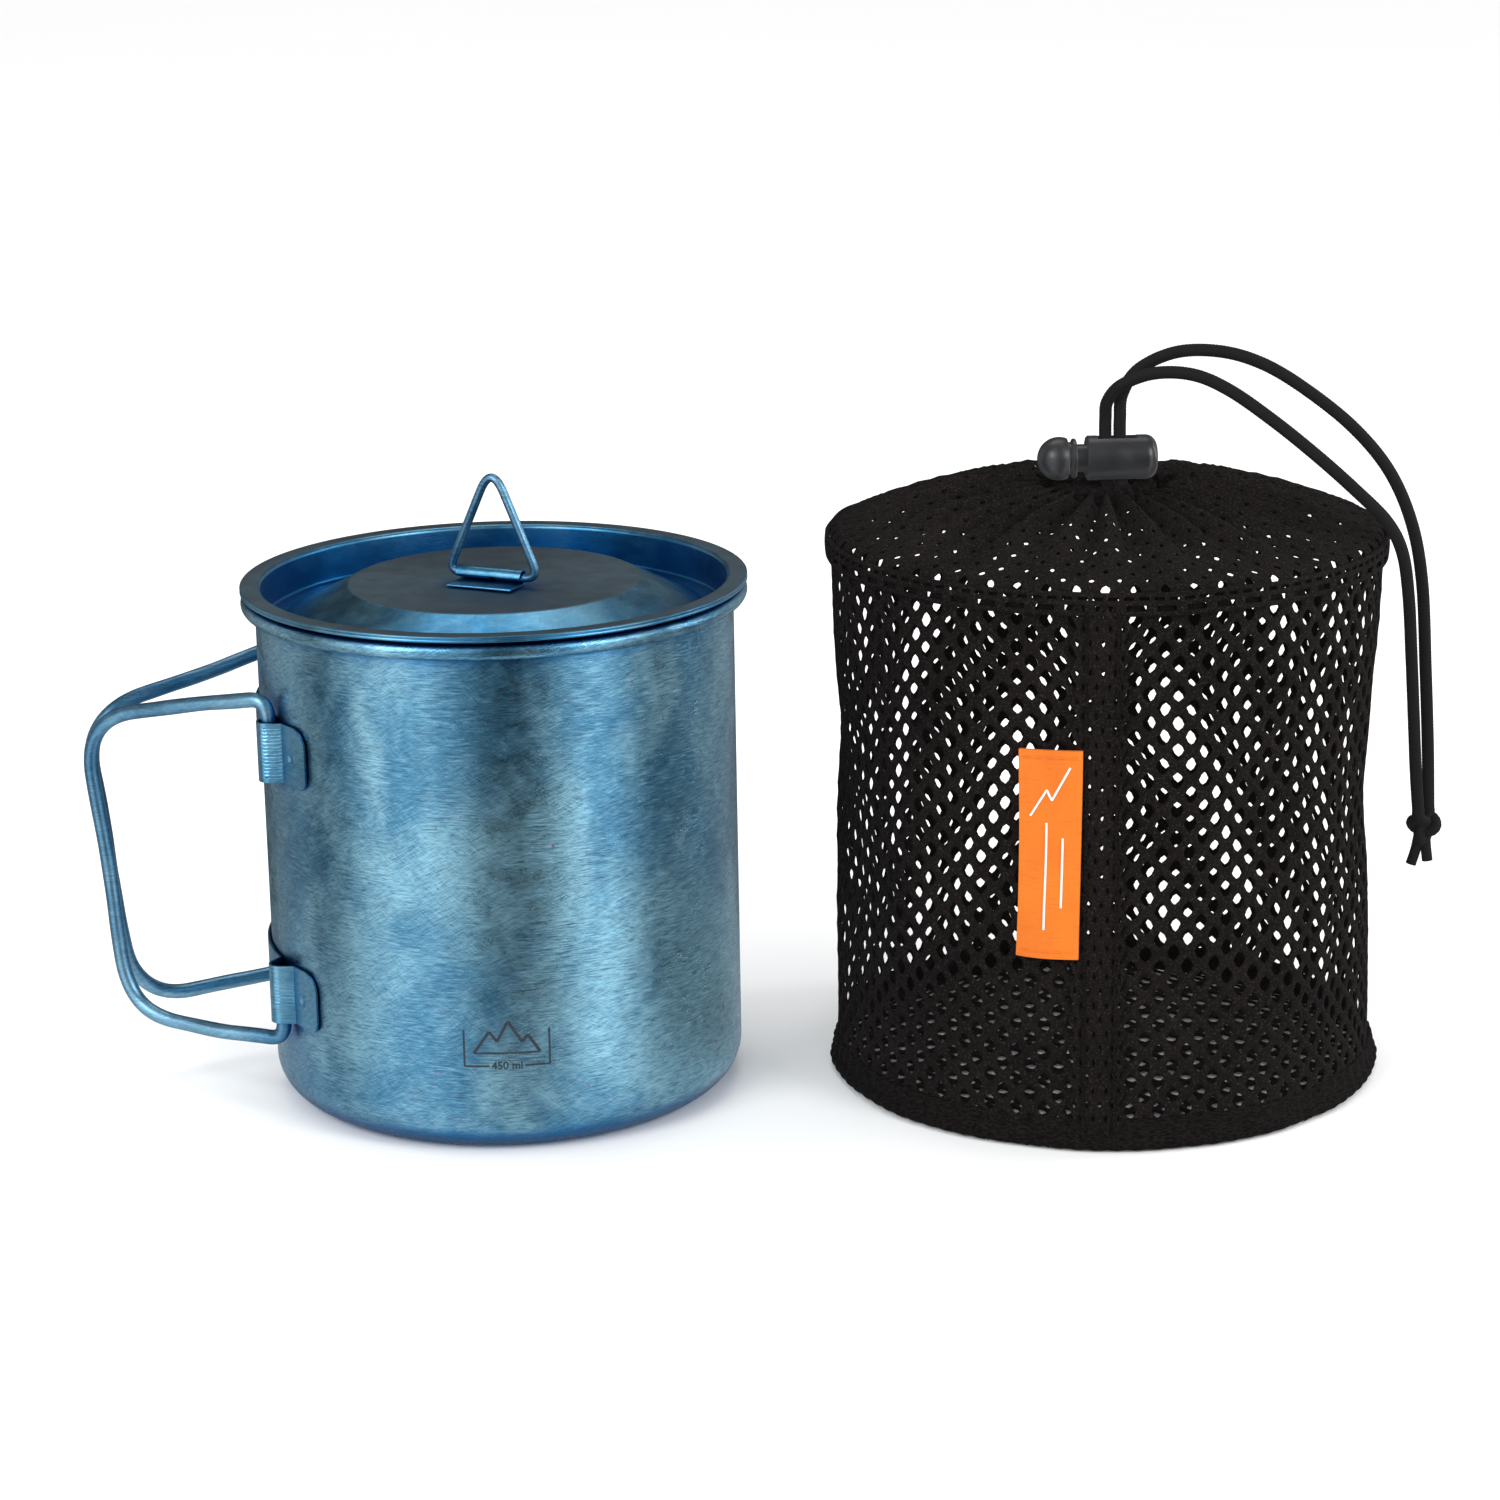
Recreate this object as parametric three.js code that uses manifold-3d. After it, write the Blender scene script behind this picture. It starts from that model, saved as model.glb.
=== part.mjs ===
// Titanium camping pot of about 450 ml: a deep-drawn cup with a rolled rim, a drop-in lid with a
// fold-down wire ring, two fold-away wire handles, and the mesh drawstring sack that it packs into.
// Millimetres, +Z up. The origin is the centre of the pot's base. The handles point to -X, and the
// sack stands beside the pot at +X.
import * as THREE from 'three';
import { mergeVertices } from 'three/addons/utils/BufferGeometryUtils.js';
import Module from 'manifold-3d';

const wasm = await Module();
wasm.setup();

// ---- driving dimensions ----
const SHEET = 0.4;                  // titanium sheet
const GAP = 0.3;                    // clearance between pieces that touch
const ROUND = 40;                   // segments round the pot, lid and sack
const QUARTER = Math.PI / 2;

const POT_RADIUS = 41.3;            // outside of the wall
const POT_CORNER = 7;               // base corner radius
const BEAD = { radius: 1.4, z: 88.2 };
const BEAD_CENTRE = POT_RADIUS - SHEET + BEAD.radius;

const LID = {
  flangeRadius: 43.75,
  flangeZ: 91.1,
  skirtRadius: 40.2,                // inner face of the skirt
  troughZ: 84.5,
  coneFoot: 36.8,                   // the trough is flat from here out to the skirt
  plateauRadius: 25.2,
  plateauZ: 90.5,
  hemWidth: 1.1,
  hemDrop: 0.65,
};

const RING = {
  wire: 0.75,                       // wire radius
  angle: THREE.MathUtils.degToRad(-26.6),
  centre: [-0.4, -4.4],
  halfWidth: 8.8,
  apex: 19.6,                       // height of the sharp triangle before its corners are rounded
  shift: 0.5,                       // the ring sits a little to one side of its sleeve
};
const EAR = { width: 12.4, reach: 4.8, bore: 1.05, sleeve: 1.4 };
const PLATE_Z = LID.plateauZ + GAP;
const RING_Z = PLATE_Z + EAR.sleeve;

const HANDLE = {
  wire: 1.3,                        // wire radius
  hinge: 42.9,                      // distance of the hinge axes from the pot's axis
  spread: THREE.MathUtils.degToRad(26.6),
  lean: THREE.MathUtils.degToRad(28.75),
};
// Corners of a handle loop: distance from its hinge, height, and bend radius.
const HANDLE_CORNERS = [
  [0, 62, 0],
  [0, 75.3, 3.2],
  [38.2, 67.7, 12],
  [32.4, 14, 12],
  [0, 14.2, 3.2],
  [0, 27, 0],
];

const STRAP = {
  height: 10.4,
  halfAngle: THREE.MathUtils.degToRad(40.3),
  inner: POT_RADIUS + GAP,
  humpInner: 1.7,
  humpOuter: 2.1,
  cornerRadius: 3,
  zUpper: 66.2,                     // mid heights
  zLower: 23.0,
};

const SACK_X = 106;
const SACK = { wallBottom: 3.4, wallTop: 96.6, wall: 1.0, topRadius: 48.4, topZ: 97.2, rise: 7.2 };
const SACK_BASE = { radius: 45.8, thickness: 1.2, bevel: 0.4 };
const BASE_SEAM = { radius: 47.4, z: 1.55, tape: 1.3 };
const SEAM_TURN = THREE.MathUtils.degToRad(-7.5);   // the side seam is this far round from the front
const SEAM = { halfWidth: 2.2, halfThickness: 0.5, offset: -1 };
const LABEL = { width: 10.6, thickness: 0.8, height: 36, radius: 47.7, z: 52, seamOffset: 8.9 };
// Outer radius of the sack's wall at a few heights.
const SACK_WALL = [[47.6, 3.4], [47.2, 15], [46.6, 50], [47.4, 82], [48.4, 96.6]];

const MOUTH = { radius: 8.3, bottom: 101, top: 105, skin: 0.6, lip: 5, cordRadius: 6.3, cordZ: 103 };
const CORD = 1.1;                   // cord radius
const LOCK = { x: SACK_X - 1.6, z: 109.2, radius: 3.85, bore: 2.75, stem: 2.4, slotHalfWidth: 1.4 };
const KNOT = { x: SACK_X + 55.5, y: -8, z: 43.5, radius: 2.7 };

// ---- materials ----
const titanium = (name, colour = 0x4a7fa3) =>
  new THREE.MeshStandardMaterial({ name, color: colour, metalness: 1, roughness: 0.35 });
const cloth = (name, colour) =>
  new THREE.MeshStandardMaterial({ name, color: colour, metalness: 0, roughness: 0.85 });
const plastic = (name) =>
  new THREE.MeshStandardMaterial({ name, color: 0x2b2d30, metalness: 0, roughness: 0.4 });

// ---- helpers ----
function node(name, geometry, material) {
  const mesh = new THREE.Mesh(geometry, material);
  mesh.name = name;
  return mesh;
}

// Turns a profile (x = radius, y = height) about the Z axis.
function lathe(profile, arcSteps = 3, segments = ROUND) {
  return new THREE.LatheGeometry(profile.getPoints(arcSteps), segments).rotateX(QUARTER);
}

function closedProfile(points) {
  const path = new THREE.Path();
  path.setFromPoints(points.map(([x, y]) => new THREE.Vector2(x, y)));
  path.closePath();
  return path;
}

// A full circle gets two corners for each of its curve segments.
function tube(curve, radius, steps, sides = 8) {
  const section = new THREE.Shape();
  section.absarc(0, 0, radius, 0, 2 * Math.PI);
  return new THREE.ExtrudeGeometry(section, {
    steps, extrudePath: curve, curveSegments: sides / 2, bevelEnabled: false,
  });
}

// A wire bent at the given corners: straight runs joined by rounded bends.
function bentWire(corners) {
  const points = corners.map(([x, y, z]) => new THREE.Vector3(x, y, z));
  const path = new THREE.CurvePath();
  let start = points[0];
  for (let i = 1; i < points.length - 1; i += 1) {
    const toPrevious = points[i - 1].clone().sub(points[i]).normalize();
    const toNext = points[i + 1].clone().sub(points[i]).normalize();
    const tangent = corners[i][3] / Math.tan(toPrevious.angleTo(toNext) / 2);
    const bendStart = points[i].clone().addScaledVector(toPrevious, tangent);
    const bendEnd = points[i].clone().addScaledVector(toNext, tangent);
    path.add(new THREE.LineCurve3(start, bendStart));
    path.add(new THREE.QuadraticBezierCurve3(bendStart, points[i], bendEnd));
    start = bendEnd;
  }
  path.add(new THREE.LineCurve3(start, points[points.length - 1]));
  return path;
}

function smoothCurve(points) {
  return new THREE.CatmullRomCurve3(points.map(([x, y, z]) => new THREE.Vector3(x, y, z)));
}

// Geometry to manifold solid and back, for cuts and joins.
function toSolid(geometry) {
  const bare = geometry.clone();
  bare.deleteAttribute('normal');
  bare.deleteAttribute('uv');
  const merged = mergeVertices(bare, 1e-4);
  const corners = Array.from(merged.index.array);
  const triVerts = [];
  for (let i = 0; i < corners.length; i += 3) {
    const [a, b, c] = corners.slice(i, i + 3);
    if (a !== b && b !== c && c !== a) triVerts.push(a, b, c);
  }
  return new wasm.Manifold(new wasm.Mesh({
    numProp: 3,
    vertProperties: Float32Array.from(merged.attributes.position.array),
    triVerts: Uint32Array.from(triVerts),
  }));
}

function toGeometry(manifold) {
  const { vertProperties, triVerts } = manifold.getMesh();
  const geometry = new THREE.BufferGeometry();
  geometry.setAttribute('position', new THREE.BufferAttribute(vertProperties, 3));
  geometry.setIndex(new THREE.BufferAttribute(triVerts, 1));
  geometry.computeVertexNormals();
  return geometry;
}

// ---- pot ----
function potShell() {
  const inner = POT_RADIUS - SHEET;
  const flat = POT_RADIUS - POT_CORNER;
  const profile = new THREE.Path();
  profile.moveTo(0, 0);
  profile.lineTo(flat, 0);
  profile.absarc(flat, POT_CORNER, POT_CORNER, -QUARTER, 0);
  profile.lineTo(POT_RADIUS, BEAD.z - BEAD.radius);
  profile.lineTo(BEAD_CENTRE, BEAD.z - BEAD.radius);
  profile.absarc(BEAD_CENTRE, BEAD.z, BEAD.radius, -QUARTER, Math.PI);
  profile.lineTo(inner, POT_CORNER);
  profile.absarc(flat, POT_CORNER, POT_CORNER - SHEET, 0, -QUARTER, true);
  profile.lineTo(0, SHEET);
  return lathe(profile);
}

// One face of the strap, seen from above. Direction 1 runs counter-clockwise, and -1 runs back.
function addStrapSide(outline, radius, humpRadius, direction) {
  const halfHump = Math.asin(humpRadius / HANDLE.hinge);
  const clockwise = direction < 0;
  let from = -direction * STRAP.halfAngle;
  for (const hump of [-direction * HANDLE.spread, direction * HANDLE.spread]) {
    const facing = Math.PI + hump;
    const centreX = HANDLE.hinge * Math.cos(facing);
    const centreY = HANDLE.hinge * Math.sin(facing);
    const quarter = direction * QUARTER;
    outline.absarc(0, 0, radius, Math.PI + from, facing - direction * halfHump, clockwise);
    outline.absarc(centreX, centreY, humpRadius, facing - quarter, facing + quarter, clockwise);
    from = hump + direction * halfHump;
  }
  outline.absarc(0, 0, radius, Math.PI + from, Math.PI + direction * STRAP.halfAngle, clockwise);
}

// A strap with two half-round humps over the hinge axes.
function strapOutline() {
  const outline = new THREE.Shape();
  addStrapSide(outline, STRAP.inner + SHEET, STRAP.humpOuter, 1);
  addStrapSide(outline, STRAP.inner, STRAP.humpInner, -1);
  outline.closePath();
  return outline;
}

// The outline drawn out upwards, with its end corners rounded by the outline of a plate seen from -X.
function strap(zMiddle) {
  const band = new THREE.ExtrudeGeometry(strapOutline(), {
    depth: STRAP.height, curveSegments: 5, bevelEnabled: false,
  });
  band.translate(0, 0, zMiddle - STRAP.height / 2);
  const halfWidth = (STRAP.inner + SHEET) * Math.sin(STRAP.halfAngle);
  const halfHeight = STRAP.height / 2;
  const corner = STRAP.cornerRadius;
  const plate = new THREE.Shape();
  plate.absarc(halfWidth - corner, halfHeight - corner, corner, 0, QUARTER);
  plate.absarc(corner - halfWidth, halfHeight - corner, corner, QUARTER, 2 * QUARTER);
  plate.absarc(corner - halfWidth, corner - halfHeight, corner, 2 * QUARTER, 3 * QUARTER);
  plate.absarc(halfWidth - corner, corner - halfHeight, corner, 3 * QUARTER, 4 * QUARTER);
  plate.closePath();
  const depth = HANDLE.hinge;
  const block = new THREE.ExtrudeGeometry(plate, { depth, curveSegments: 4, bevelEnabled: false });
  block.rotateX(QUARTER).rotateZ(QUARTER).translate(-1.2 * depth, 0, zMiddle);
  return toGeometry(toSolid(band).intersect(toSolid(block)));
}

// side is -1 for the front loop and +1 for the back loop.
function handleLoop(side) {
  const hingeX = -HANDLE.hinge * Math.cos(HANDLE.spread);
  const hingeY = side * HANDLE.hinge * Math.sin(HANDLE.spread);
  const corners = HANDLE_CORNERS.map(([reach, z, bend]) => [
    hingeX - reach * Math.cos(HANDLE.lean),
    hingeY - side * reach * Math.sin(HANDLE.lean),
    z,
    bend,
  ]);
  return tube(bentWire(corners), HANDLE.wire, 48);
}

// ---- lid ----
function lidPan() {
  const under = LID.flangeZ - SHEET;
  const bend = 0.8;                 // bend between skirt and flange
  const fillet = 0.5;               // bend between skirt and trough
  const skirt = LID.skirtRadius;
  const profile = new THREE.Path();
  profile.moveTo(0, LID.plateauZ - SHEET);
  profile.lineTo(LID.plateauRadius, LID.plateauZ - SHEET);
  profile.lineTo(LID.coneFoot, LID.troughZ - SHEET);
  profile.lineTo(skirt - fillet, LID.troughZ - SHEET);
  profile.absarc(skirt - fillet, LID.troughZ + fillet, fillet + SHEET, -QUARTER, 0);
  profile.lineTo(skirt + SHEET, under - bend / 2);
  profile.absarc(skirt + bend, under - bend / 2, bend / 2, Math.PI, QUARTER, true);
  profile.lineTo(LID.flangeRadius - LID.hemWidth, under);
  profile.lineTo(LID.flangeRadius - LID.hemWidth, under - LID.hemDrop);
  profile.lineTo(LID.flangeRadius, under - LID.hemDrop);
  profile.lineTo(LID.flangeRadius, LID.flangeZ);
  profile.lineTo(skirt + bend, LID.flangeZ);
  profile.absarc(skirt + bend, LID.flangeZ - bend, bend, QUARTER, Math.PI);
  profile.lineTo(skirt, LID.troughZ + fillet);
  profile.absarc(skirt - fillet, LID.troughZ + fillet, fillet, 0, -QUARTER, true);
  profile.lineTo(LID.coneFoot, LID.troughZ);
  profile.lineTo(LID.plateauRadius, LID.plateauZ);
  profile.lineTo(0, LID.plateauZ);
  return lathe(profile, 2);
}

// Ear: a thin plate whose back edge is rolled into a sleeve. The sleeve's axis is local X.
function lidEar() {
  const outline = new THREE.Shape();
  outline.absarc(0, 0, EAR.sleeve, -QUARTER, Math.PI);
  outline.absarc(0, 0, EAR.bore, Math.PI, -QUARTER, true);
  outline.lineTo(-EAR.reach, SHEET - EAR.sleeve);
  outline.lineTo(-EAR.reach, -EAR.sleeve);
  outline.closePath();
  const ear = new THREE.ExtrudeGeometry(outline, { depth: EAR.width, curveSegments: 12, bevelEnabled: false });
  return ear.translate(0, 0, -EAR.width / 2).rotateX(QUARTER).rotateZ(QUARTER);
}

// Triangular ring in the local XZ plane. Its two ends meet, unjoined, inside the sleeve.
function lidRing() {
  const left = RING.shift - RING.halfWidth;
  const right = RING.shift + RING.halfWidth;
  const end = 0.4;
  return tube(bentWire([
    [RING.shift - end, 0, 0, 0],
    [left, 0, 0, 1.9],
    [RING.shift + 0.3, 0, RING.apex, 2.5],
    [right, 0, 0, 1.9],
    [RING.shift + end, 0, 0, 0],
  ]), RING.wire, 36);
}

// ---- stuff sack (all in its own frame, turned about its own axis) ----
function sackWall() {
  const outside = SACK_WALL.map(([radius, z]) => [radius, z]);
  const inside = SACK_WALL.map(([radius, z]) => [radius - SACK.wall, z]).reverse();
  return lathe(closedProfile([...outside, ...inside]));
}

function sackBase() {
  const { radius, thickness, bevel } = SACK_BASE;
  return lathe(closedProfile([
    [0, 0], [radius - bevel, 0], [radius, thickness / 2], [radius - bevel, thickness], [0, thickness],
  ]));
}

function sackBaseSeam() {
  const profile = new THREE.Path();
  profile.absarc(BASE_SEAM.radius, BASE_SEAM.z, BASE_SEAM.tape, 0, 2 * Math.PI);
  return lathe(profile);
}

const hemZ = (radius) => SACK.topZ + SACK.rise * (1 - (radius / SACK.topRadius) ** 2.6);

function sackHem() {
  const inner = MOUTH.radius + GAP;
  const radii = [inner, 20, 32, 41, 46, SACK.topRadius];
  const top = radii.map((radius) => [radius, hemZ(radius)]);
  const under = radii.map((radius) => [Math.max(radius - SACK.wall * 0.3, inner), hemZ(radius) - SACK.wall]);
  under[under.length - 1] = [SACK.topRadius - 0.4, SACK.wallTop + GAP];
  return lathe(closedProfile([...top.reverse(), ...under]));
}

// The cord channel round the mouth is open towards the middle.
function mouthChannel() {
  const { radius, bottom, top, skin, lip } = MOUTH;
  return lathe(closedProfile([
    [lip, bottom], [radius, bottom], [radius, top], [lip, top],
    [lip, top - skin], [radius - skin, top - skin], [radius - skin, bottom + skin], [lip, bottom + skin],
  ]), 1, 32);
}

function sideSeam() {
  const { halfWidth, halfThickness, offset } = SEAM;
  const proud = GAP + halfThickness;
  const section = new THREE.Shape();
  section.moveTo(-halfWidth, -halfThickness);
  section.lineTo(halfWidth, -halfThickness);
  section.lineTo(halfWidth, halfThickness);
  section.lineTo(-halfWidth, halfThickness);
  section.closePath();
  const path = smoothCurve(SACK_WALL.map(([radius, z]) => [offset, -(radius + proud), Math.max(z, 4)]));
  const seam = new THREE.ExtrudeGeometry(section, { steps: 12, extrudePath: path, bevelEnabled: false });
  return seam.rotateZ(SEAM_TURN);
}

function sackLabel() {
  const label = new THREE.BoxGeometry(LABEL.width, LABEL.thickness, LABEL.height);
  return label.translate(0, -LABEL.radius, LABEL.z).rotateZ(SEAM_TURN - LABEL.seamOffset / LABEL.radius);
}

// ---- drawcord ----
const mouthArc = (degrees) => [
  MOUTH.cordRadius * Math.cos(THREE.MathUtils.degToRad(degrees)),
  MOUTH.cordRadius * Math.sin(THREE.MathUtils.degToRad(degrees)),
  MOUTH.cordZ,
];

function mouthLoop() {
  const round = [55, 80, 110, 140, 170, 200, 230, 260, 285, 308].map(mouthArc);
  return tube(smoothCurve([
    [-0.2, 0, 112], [-0.2, 0, 109], [-0.1, 0.1, 106], [0.9, 0.9, 104],
    [2.6, 2.4, 103], ...round,
    [4.4, -2.9, 103], [3, -1.2, 103.9], [2.4, -0.2, 106], [2.3, 0, 109], [2.3, 0, 112],
  ]), CORD, 36);
}

// Centre lines of the two free strands, from the lock to the knot, measured from the sack's axis.
const LEFT_STRAND = [
  [-0.2, 0, 112.3], [-0.2, 0, 116], [0, -0.9, 119.2], [2.2, -2.3, 122.2], [7.6, -3.9, 124.4],
  [14, -5.6, 124.3], [20, -7.4, 121.8], [27, -10.5, 117], [34, -13.5, 111.4], [40.5, -15.8, 105.6],
  [45.6, -17, 100.4], [48.4, -16.8, 95], [50, -15.4, 87], [51.2, -13.6, 76], [52.4, -11.6, 64],
  [53.4, -9.9, 54], [54.2, -9.1, 46.9],
];
const RIGHT_STRAND = [
  [2.3, 0, 112.3], [2.3, 0, 116], [2.7, 0.3, 120.2], [5.6, 0.6, 124.4], [12, 0.4, 127.2],
  [19.5, -0.6, 127.3], [26.6, -1.8, 125.2], [33.9, -3.2, 120.8], [42, -4.6, 114.2], [48.2, -5.6, 106.6],
  [52.2, -6.2, 97.4], [54.2, -6.6, 86.9], [55.2, -6.8, 72], [56, -7, 58], [56.4, -7.2, 46.9],
];

function knot() {
  const ball = toSolid(new THREE.SphereGeometry(KNOT.radius, 14, 10));
  const tail = (angle, length) => {
    const end = new THREE.CylinderGeometry(CORD, CORD, length, 8).translate(0, -length / 2, 0);
    return toSolid(end.rotateX(QUARTER).rotateY(angle));
  };
  return toGeometry(ball.add(tail(0.5, 6.5)).add(tail(-0.15, 5.5)));
}

// ---- cord lock (turned about local X, the ball end at -X) ----
const LOCK_SLOT = [0, 6.8];
const PLUNGER_OFFSET = 1.5;         // how far the spring holds the plunger's slot off the barrel's

function lockTurned(profile) {
  return new THREE.LatheGeometry(profile.getPoints(3), 20).rotateZ(-QUARTER);
}

function slotBox([from, to]) {
  return toSolid(new THREE.BoxGeometry(to - from, 2 * LOCK.slotHalfWidth, 20).translate((from + to) / 2, 0, 0));
}

function lockBarrel() {
  const end = 10.3;
  const rounding = 2;
  const profile = new THREE.Path();
  profile.moveTo(0, 9.3);
  profile.lineTo(LOCK.bore, 9.3);
  profile.lineTo(LOCK.bore, -1.9);
  profile.lineTo(LOCK.radius, -1.9);
  profile.lineTo(LOCK.radius, end - rounding);
  profile.absarc(LOCK.radius - rounding, end - rounding, rounding, 0, QUARTER);
  profile.lineTo(0, end);
  return toGeometry(toSolid(lockTurned(profile)).subtract(slotBox(LOCK_SLOT)));
}

function lockPlunger() {
  const head = 3.75;
  const profile = new THREE.Path();
  profile.moveTo(0, 6.2);
  profile.lineTo(LOCK.stem, 6.2);
  profile.lineTo(LOCK.stem, -3.6);
  profile.lineTo(3.4, -3.7);
  profile.lineTo(3.4, -4.4);
  profile.lineTo(2.8, -4.6);
  profile.lineTo(2.8, -5);
  profile.lineTo(head, -5.2);
  profile.absarc(0, -6.6, head, 0, -QUARTER, true);
  const slot = LOCK_SLOT.map((edge) => edge - PLUNGER_OFFSET);
  return toGeometry(toSolid(lockTurned(flipped(profile))).subtract(slotBox(slot)));
}

function flipped(profile) {
  const path = new THREE.Path();
  path.setFromPoints(profile.getPoints(3).reverse());
  return path;
}

class SpringCurve extends THREE.Curve {
  getPoint(t) {
    const turn = 2 * Math.PI * 3 * t;
    return new THREE.Vector3(6.8 + 2.0 * t, 1.7 * Math.cos(turn), 1.7 * Math.sin(turn));
  }
}

// ---- assembly ----
const pot = new THREE.Group();
pot.add(node('pot_shell', potShell(), titanium('pot_titanium')));
pot.add(node('upper_handle_strap', strap(STRAP.zUpper), titanium('strap_titanium')));
pot.add(node('lower_handle_strap', strap(STRAP.zLower), titanium('strap_titanium')));
pot.add(node('front_handle_loop', handleLoop(-1), titanium('wire_titanium')));
pot.add(node('back_handle_loop', handleLoop(1), titanium('wire_titanium')));

const lid = new THREE.Group();
lid.add(node('lid_pan', lidPan(), titanium('lid_titanium', 0x3f6f92)));
const ringPlace = new THREE.Group();
ringPlace.position.set(RING.centre[0], RING.centre[1], RING_Z);
ringPlace.rotation.z = RING.angle;
ringPlace.add(node('lid_ear', lidEar(), titanium('strap_titanium')));
ringPlace.add(node('lid_ring', lidRing(), titanium('wire_titanium')));
lid.add(ringPlace);

const sack = new THREE.Group();
sack.position.x = SACK_X;
sack.add(node('bag_wall', sackWall(), cloth('mesh_fabric', 0x17171a)));
sack.add(node('bag_base', sackBase(), cloth('mesh_fabric', 0x17171a)));
sack.add(node('bag_base_seam', sackBaseSeam(), cloth('binding', 0x101012)));
sack.add(node('bag_side_seam', sideSeam(), cloth('binding', 0x101012)));
sack.add(node('bag_hem', sackHem(), cloth('mesh_fabric', 0x17171a)));
sack.add(node('bag_mouth_channel', mouthChannel(), cloth('binding', 0x101012)));
sack.add(node('bag_label', sackLabel(), cloth('label', 0xf07a12)));
sack.add(node('drawcord_mouth_loop', mouthLoop(), cloth('cord', 0x1a1a1c)));
sack.add(node('drawcord_left_strand', tube(smoothCurve(LEFT_STRAND), CORD, 34), cloth('cord', 0x1a1a1c)));
sack.add(node('drawcord_right_strand', tube(smoothCurve(RIGHT_STRAND), CORD, 34), cloth('cord', 0x1a1a1c)));

const knotMesh = node('drawcord_knot', knot(), cloth('cord', 0x1a1a1c));
knotMesh.position.set(KNOT.x, KNOT.y, KNOT.z);

const lock = new THREE.Group();
lock.position.set(LOCK.x, 0, LOCK.z);
lock.add(node('cord_lock_barrel', lockBarrel(), plastic('lock_plastic')));
lock.add(node('cord_lock_plunger', lockPlunger(), plastic('lock_plastic')));
lock.add(node('cord_lock_spring', tube(new SpringCurve(), 0.25, 30, 6), titanium('spring_steel', 0xb8bcc2)));

const set = new THREE.Group();
set.add(pot, lid, sack, knotMesh, lock);

export default set;
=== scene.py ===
"""A blued titanium camping pot, its lid, its fold-away handles and its mesh stuff sack, in a pale studio.

The code's lengths are in millimetres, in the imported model's frame. MM turns them into metres where a
mesh, a light or the camera is made.
"""
import math

import bpy
from mathutils import Matrix, Vector, noise


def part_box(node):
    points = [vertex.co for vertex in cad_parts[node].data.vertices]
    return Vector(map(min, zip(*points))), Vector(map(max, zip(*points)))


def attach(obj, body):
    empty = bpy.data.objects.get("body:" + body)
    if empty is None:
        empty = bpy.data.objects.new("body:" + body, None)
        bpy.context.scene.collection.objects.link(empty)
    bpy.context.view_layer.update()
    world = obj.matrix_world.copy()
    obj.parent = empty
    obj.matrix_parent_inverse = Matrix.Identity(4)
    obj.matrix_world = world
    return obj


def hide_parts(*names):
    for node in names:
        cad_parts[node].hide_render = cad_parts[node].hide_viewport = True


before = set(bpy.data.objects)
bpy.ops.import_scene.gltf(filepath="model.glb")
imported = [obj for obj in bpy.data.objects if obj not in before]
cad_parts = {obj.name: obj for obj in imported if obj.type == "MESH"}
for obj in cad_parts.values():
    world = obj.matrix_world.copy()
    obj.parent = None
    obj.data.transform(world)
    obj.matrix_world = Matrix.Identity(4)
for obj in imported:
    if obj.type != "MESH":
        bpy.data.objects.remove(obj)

MM = 0.001
SCENE = bpy.context.scene
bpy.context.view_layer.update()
noise.seed_set(7)                   # fixes noise_vector, which bends the handle wires


def box_mm(node):
    """The lowest and highest corner of a CAD node, in millimetres."""
    low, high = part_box(node)
    return low / MM, high / MM


# ---- driving dimensions ----
SHEET = 0.4                         # titanium sheet
POT_RADIUS = 41.3                   # outside of the wall
POT_CORNER = 7.0
BEAD_RADIUS = 1.4
BEAD_Z = 88.2
BEAD_CENTRE = POT_RADIUS - SHEET + BEAD_RADIUS

FLANGE_RADIUS = 43.75
FLANGE_Z = box_mm("lid_pan")[1].z
SKIRT_RADIUS = 40.2
TROUGH_Z = 84.5
CONE_FOOT = 36.8
PLATEAU_RADIUS = 25.2
PLATEAU_Z = 90.5

RING_PLACE = Vector((-0.4, -4.4, 92.2))
RING_ANGLE = -26.6
RING_WIRE = 0.75
EAR_SLEEVE = 1.4
EAR_BORE = 1.05
EAR_WIDTH = 12.4
EAR_REACH = 4.8

HANDLE_WIRE = 1.3
HINGE_RADIUS = 42.9                 # of the two hinge axes, from the pot's axis
HINGE_SPREAD = 26.6
HANDLE_LEAN = 28.75
# Distance from the hinge, height and bend radius of each corner of a handle loop.
HANDLE_CORNERS = [(0, 62, 0), (0, 75.3, 3.2), (38.2, 67.7, 12), (32.4, 14, 12), (0, 14.2, 3.2), (0, 27, 0)]

STRAP_HEIGHT = 10.4
STRAP_HALF_ANGLE = 40.3
STRAP_INNER = POT_RADIUS + 0.3
HUMP_INNER = 1.7
HUMP_OUTER = 2.1
HUMP_FOOT = 3.1                     # where the ramp beside a hump meets the strap's face
STRAP_HEIGHTS = {"upper_handle_strap": 66.2, "lower_handle_strap": 23.0}

SACK_X = 106.0
SACK_WALL = [(47.6, 3.4), (47.2, 15), (46.6, 50), (47.4, 82), (48.4, 96.6)]
HEM_RADIUS = 48.4
HEM_Z = 97.2
HEM_RISE = 7.2
MOUTH_RADIUS = 8.3
MOUTH_LIP = 5.0
MOUTH_BOTTOM = 101.0
MOUTH_TOP = 105.0
SEAM_TURN = -97.5                   # direction of the side seam, in degrees round the sack

CORD_RADIUS = 1.1
LOCK_PLACE = Vector((SACK_X - 1.6, 0, 109.2))
LOCK_SLOT = (0, 6.8)
PLUNGER_OFFSET = 1.5
SLOT_HALF_WIDTH = 1.4
KNOT_PLACE = Vector((SACK_X + 55.5, -8, 43.5))
SACK_BODIES = ("bag", "cord_lock", "lock_plunger")

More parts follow.
